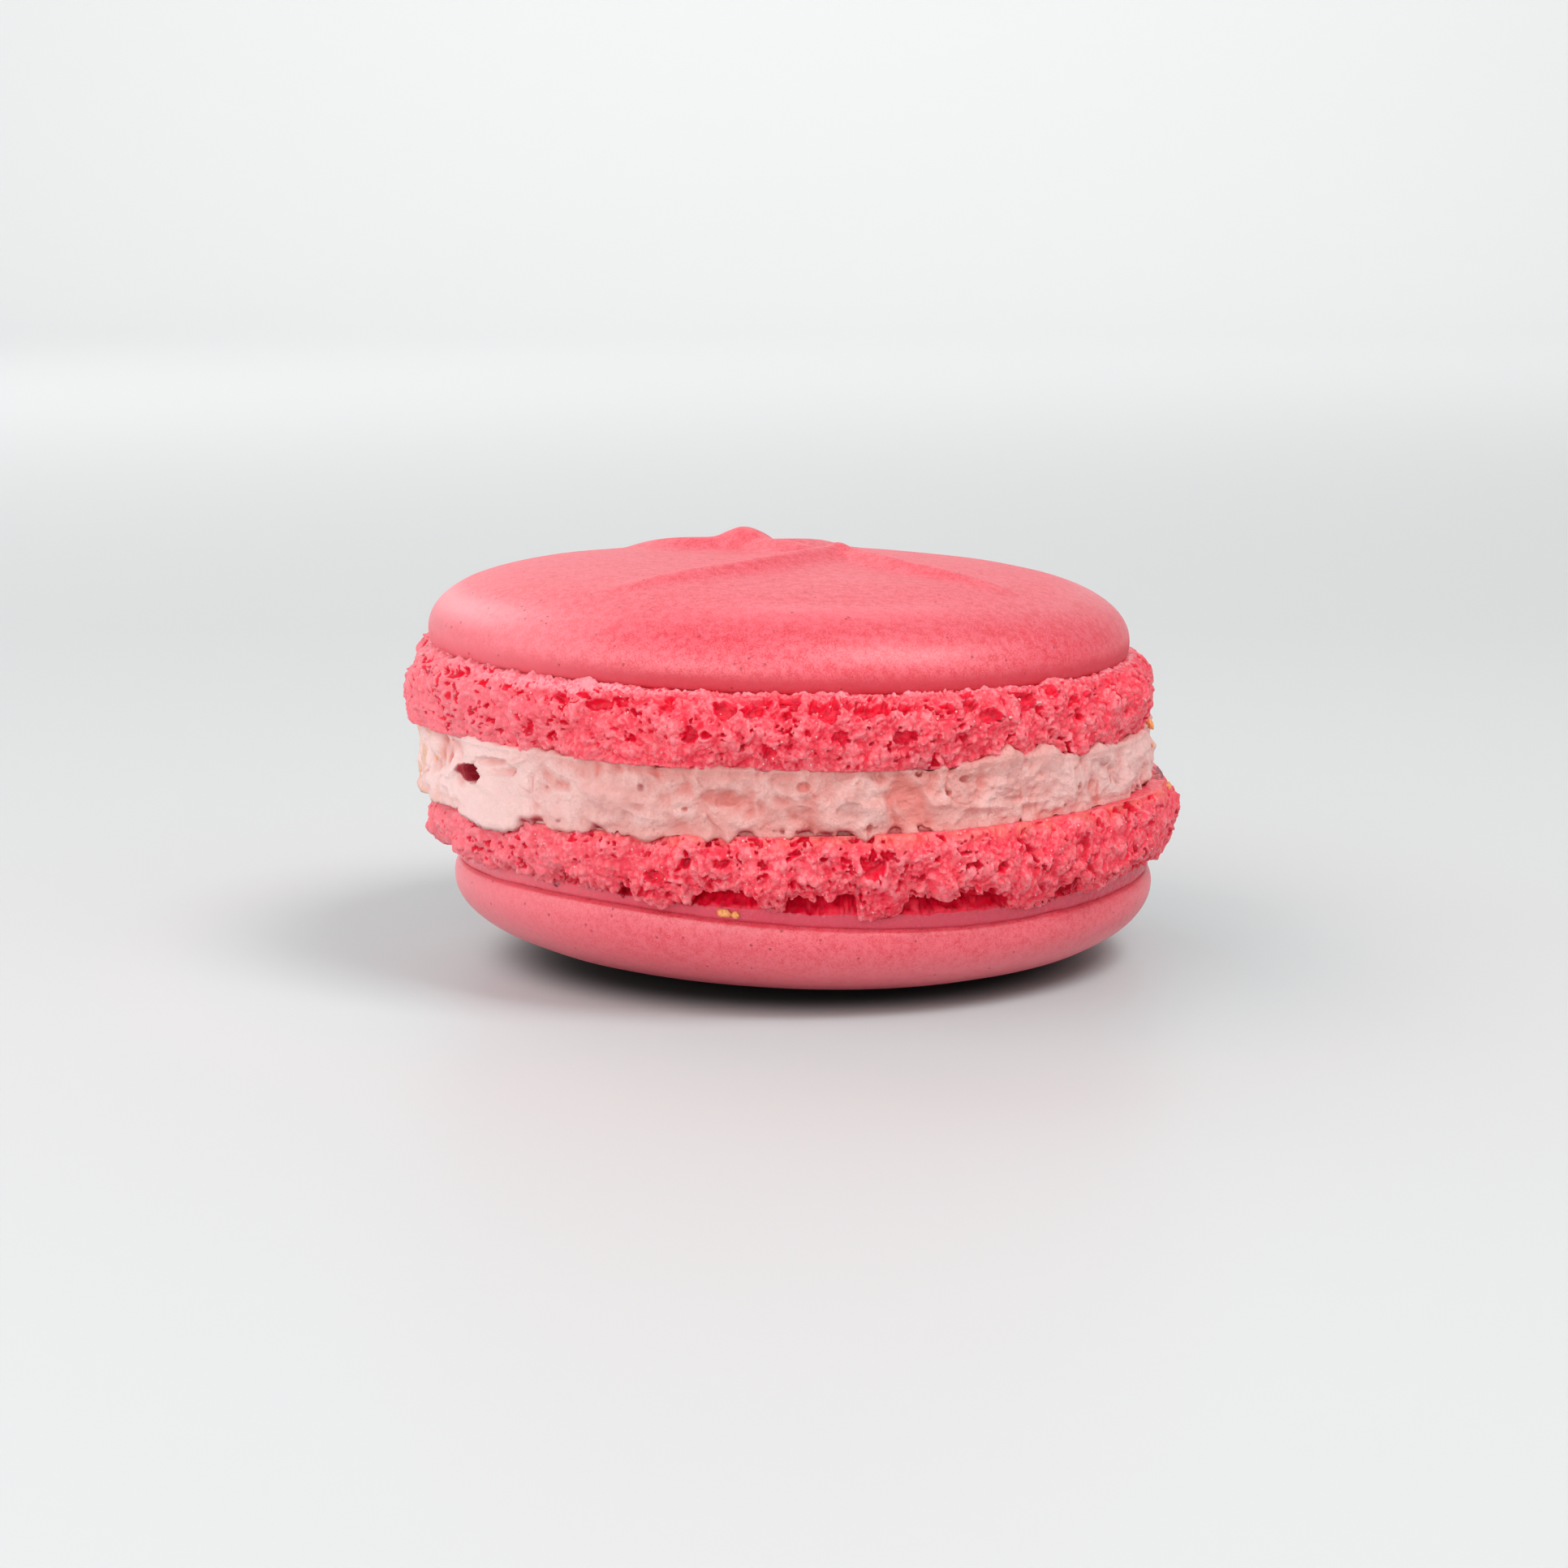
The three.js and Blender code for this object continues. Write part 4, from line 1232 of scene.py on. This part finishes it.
class MACARON_OT_stage(bpy.types.Operator):
    """Sets the pale floor and backdrop, the soft studio light and the camera"""

    bl_idname = "macaron.stage"
    bl_label = "Set stage"

    def execute(self, context):
        scene, stage = context.scene, context.scene.macaron_stage
        add_floor(scene.macaron_colours.floor)
        for name, place, size, facing in LIGHTS:
            add_light(name + "_light", place, size, getattr(stage, name), facing)
        scene.world = bpy.data.worlds.new("studio_air")
        scene.world.use_nodes = True
        air = scene.world.node_tree.nodes["Background"].inputs
        air["Color"].default_value = (1, 1, 1, 1)
        air["Strength"].default_value = stage.air
        camera = bpy.data.objects.new("camera", bpy.data.cameras.new("camera"))
        camera.data.sensor_width = 36
        camera.data.lens = stage.lens
        camera.data.clip_start = 0.01
        camera.location = stage.eye
        camera.rotation_euler = (math.pi / 2 - stage.pitch, 0, 0)
        scene.collection.objects.link(camera)
        scene.camera = camera
        scene.view_settings.view_transform = "Standard"
        return {"FINISHED"}


def add_floor(shade):
    """A floor that sweeps up into a backdrop behind the object: flat, then a quarter circle, then
    upright. Under the macaron it is painted much darker, a painted shadow, and round it a little
    cooler, against the red light thrown there."""
    turn = np.linspace(0, math.pi / 2, 24)
    sweep, back, front, top, half_width = 600.0, 900.0, -1600.0, 2400.0, 2500.0
    along = np.concatenate([[front], back + sweep * np.sin(turn), [back + sweep]])
    height = np.concatenate([[0.0], sweep * (1 - np.cos(turn)), [top]])
    across = np.array([-half_width, half_width])
    points = np.stack(np.broadcast_arrays(across[None], along[:, None], height[:, None]), -1)
    index = np.arange(points.size // 3).reshape(len(along), 2)
    faces = np.stack([index[:-1, 0], index[:-1, 1], index[1:, 1], index[1:, 0]], axis=-1)
    mesh = bpy.data.meshes.new("floor")
    mesh.from_pydata((points.reshape(-1, 3) * MM).tolist(), [], faces.tolist())
    mesh.polygons.foreach_set("use_smooth", np.ones(len(faces), dtype=bool))
    floor = bpy.data.objects.new("floor", mesh)
    bpy.context.scene.collection.objects.link(floor)
    f = Finish("pale_floor")
    away = f.node("ShaderNodeVectorMath", {"operation": "LENGTH"}, {0: f.here}, "Value")
    round_it = tuple(np.array(shade) * (0.88, 1.0, 1.0))
    # Painted shadow: the floor under the macaron darkened to about a tenth.
    painted_shadow = tuple(np.array(shade) * (0.1, 0.12, 0.12))
    colour = f.blend(f.step(away, 22 * MM, 42 * MM), round_it, shade)
    colour = f.blend(f.step(away, 14 * MM, 20.5 * MM), painted_shadow, colour)
    mesh.materials.append(f.surface(Base_Color=colour, Roughness=0.45, IOR=1.3))


def add_light(name, place, size, power, facing):
    """A square area light that faces a place."""
    light = bpy.data.lights.new(name, "AREA")
    light.size = size
    light.energy = power
    lamp = bpy.data.objects.new(name, light)
    lamp.location = place
    aim = Vector(facing) - lamp.location
    lamp.rotation_euler = aim.to_track_quat("-Z", "Y").to_euler()
    bpy.context.scene.collection.objects.link(lamp)


class MACARON_PT_tools(bpy.types.Panel):
    """Lists the steps and the sizes and colours that they use"""

    bl_label = "Macaron"
    bl_idname = "MACARON_PT_tools"
    bl_space_type = "VIEW_3D"
    bl_region_type = "UI"
    bl_category = "Macaron"

    def draw(self, context):
        for step in STEPS:
            self.layout.operator(step.bl_idname)
        for name in GROUPS:
            group, box = getattr(context.scene, name), self.layout.box()
            for key in group.bl_rna.properties.keys():
                if key not in ("rna_type", "name"):
                    box.prop(group, key)


STEPS = (MACARON_OT_stage, MACARON_OT_lower_shell, MACARON_OT_filling, MACARON_OT_upper_shell,
         MACARON_OT_crumbs)
GROUPS = {"macaron_form": MACARON_PG_form, "macaron_colours": MACARON_PG_colours,
          "macaron_stage": MACARON_PG_stage}


def register():
    """Registers the property groups, operators and panel."""
    for cls in (*GROUPS.values(), *STEPS, MACARON_PT_tools):
        bpy.utils.register_class(cls)
    for name, group in GROUPS.items():
        setattr(bpy.types.Scene, name, bpy.props.PointerProperty(type=group))


def unregister():
    """Takes them away again, in the opposite order."""
    for name in GROUPS:
        delattr(bpy.types.Scene, name)
    for cls in reversed((*GROUPS.values(), *STEPS, MACARON_PT_tools)):
        bpy.utils.unregister_class(cls)


def main():
    """Runs the steps in order."""
    register()
    bpy.ops.macaron.stage()
    bpy.ops.macaron.lower_shell()
    bpy.ops.macaron.filling()
    bpy.ops.macaron.upper_shell()
    bpy.ops.macaron.crumbs()


if __name__ == "__main__":
    main()
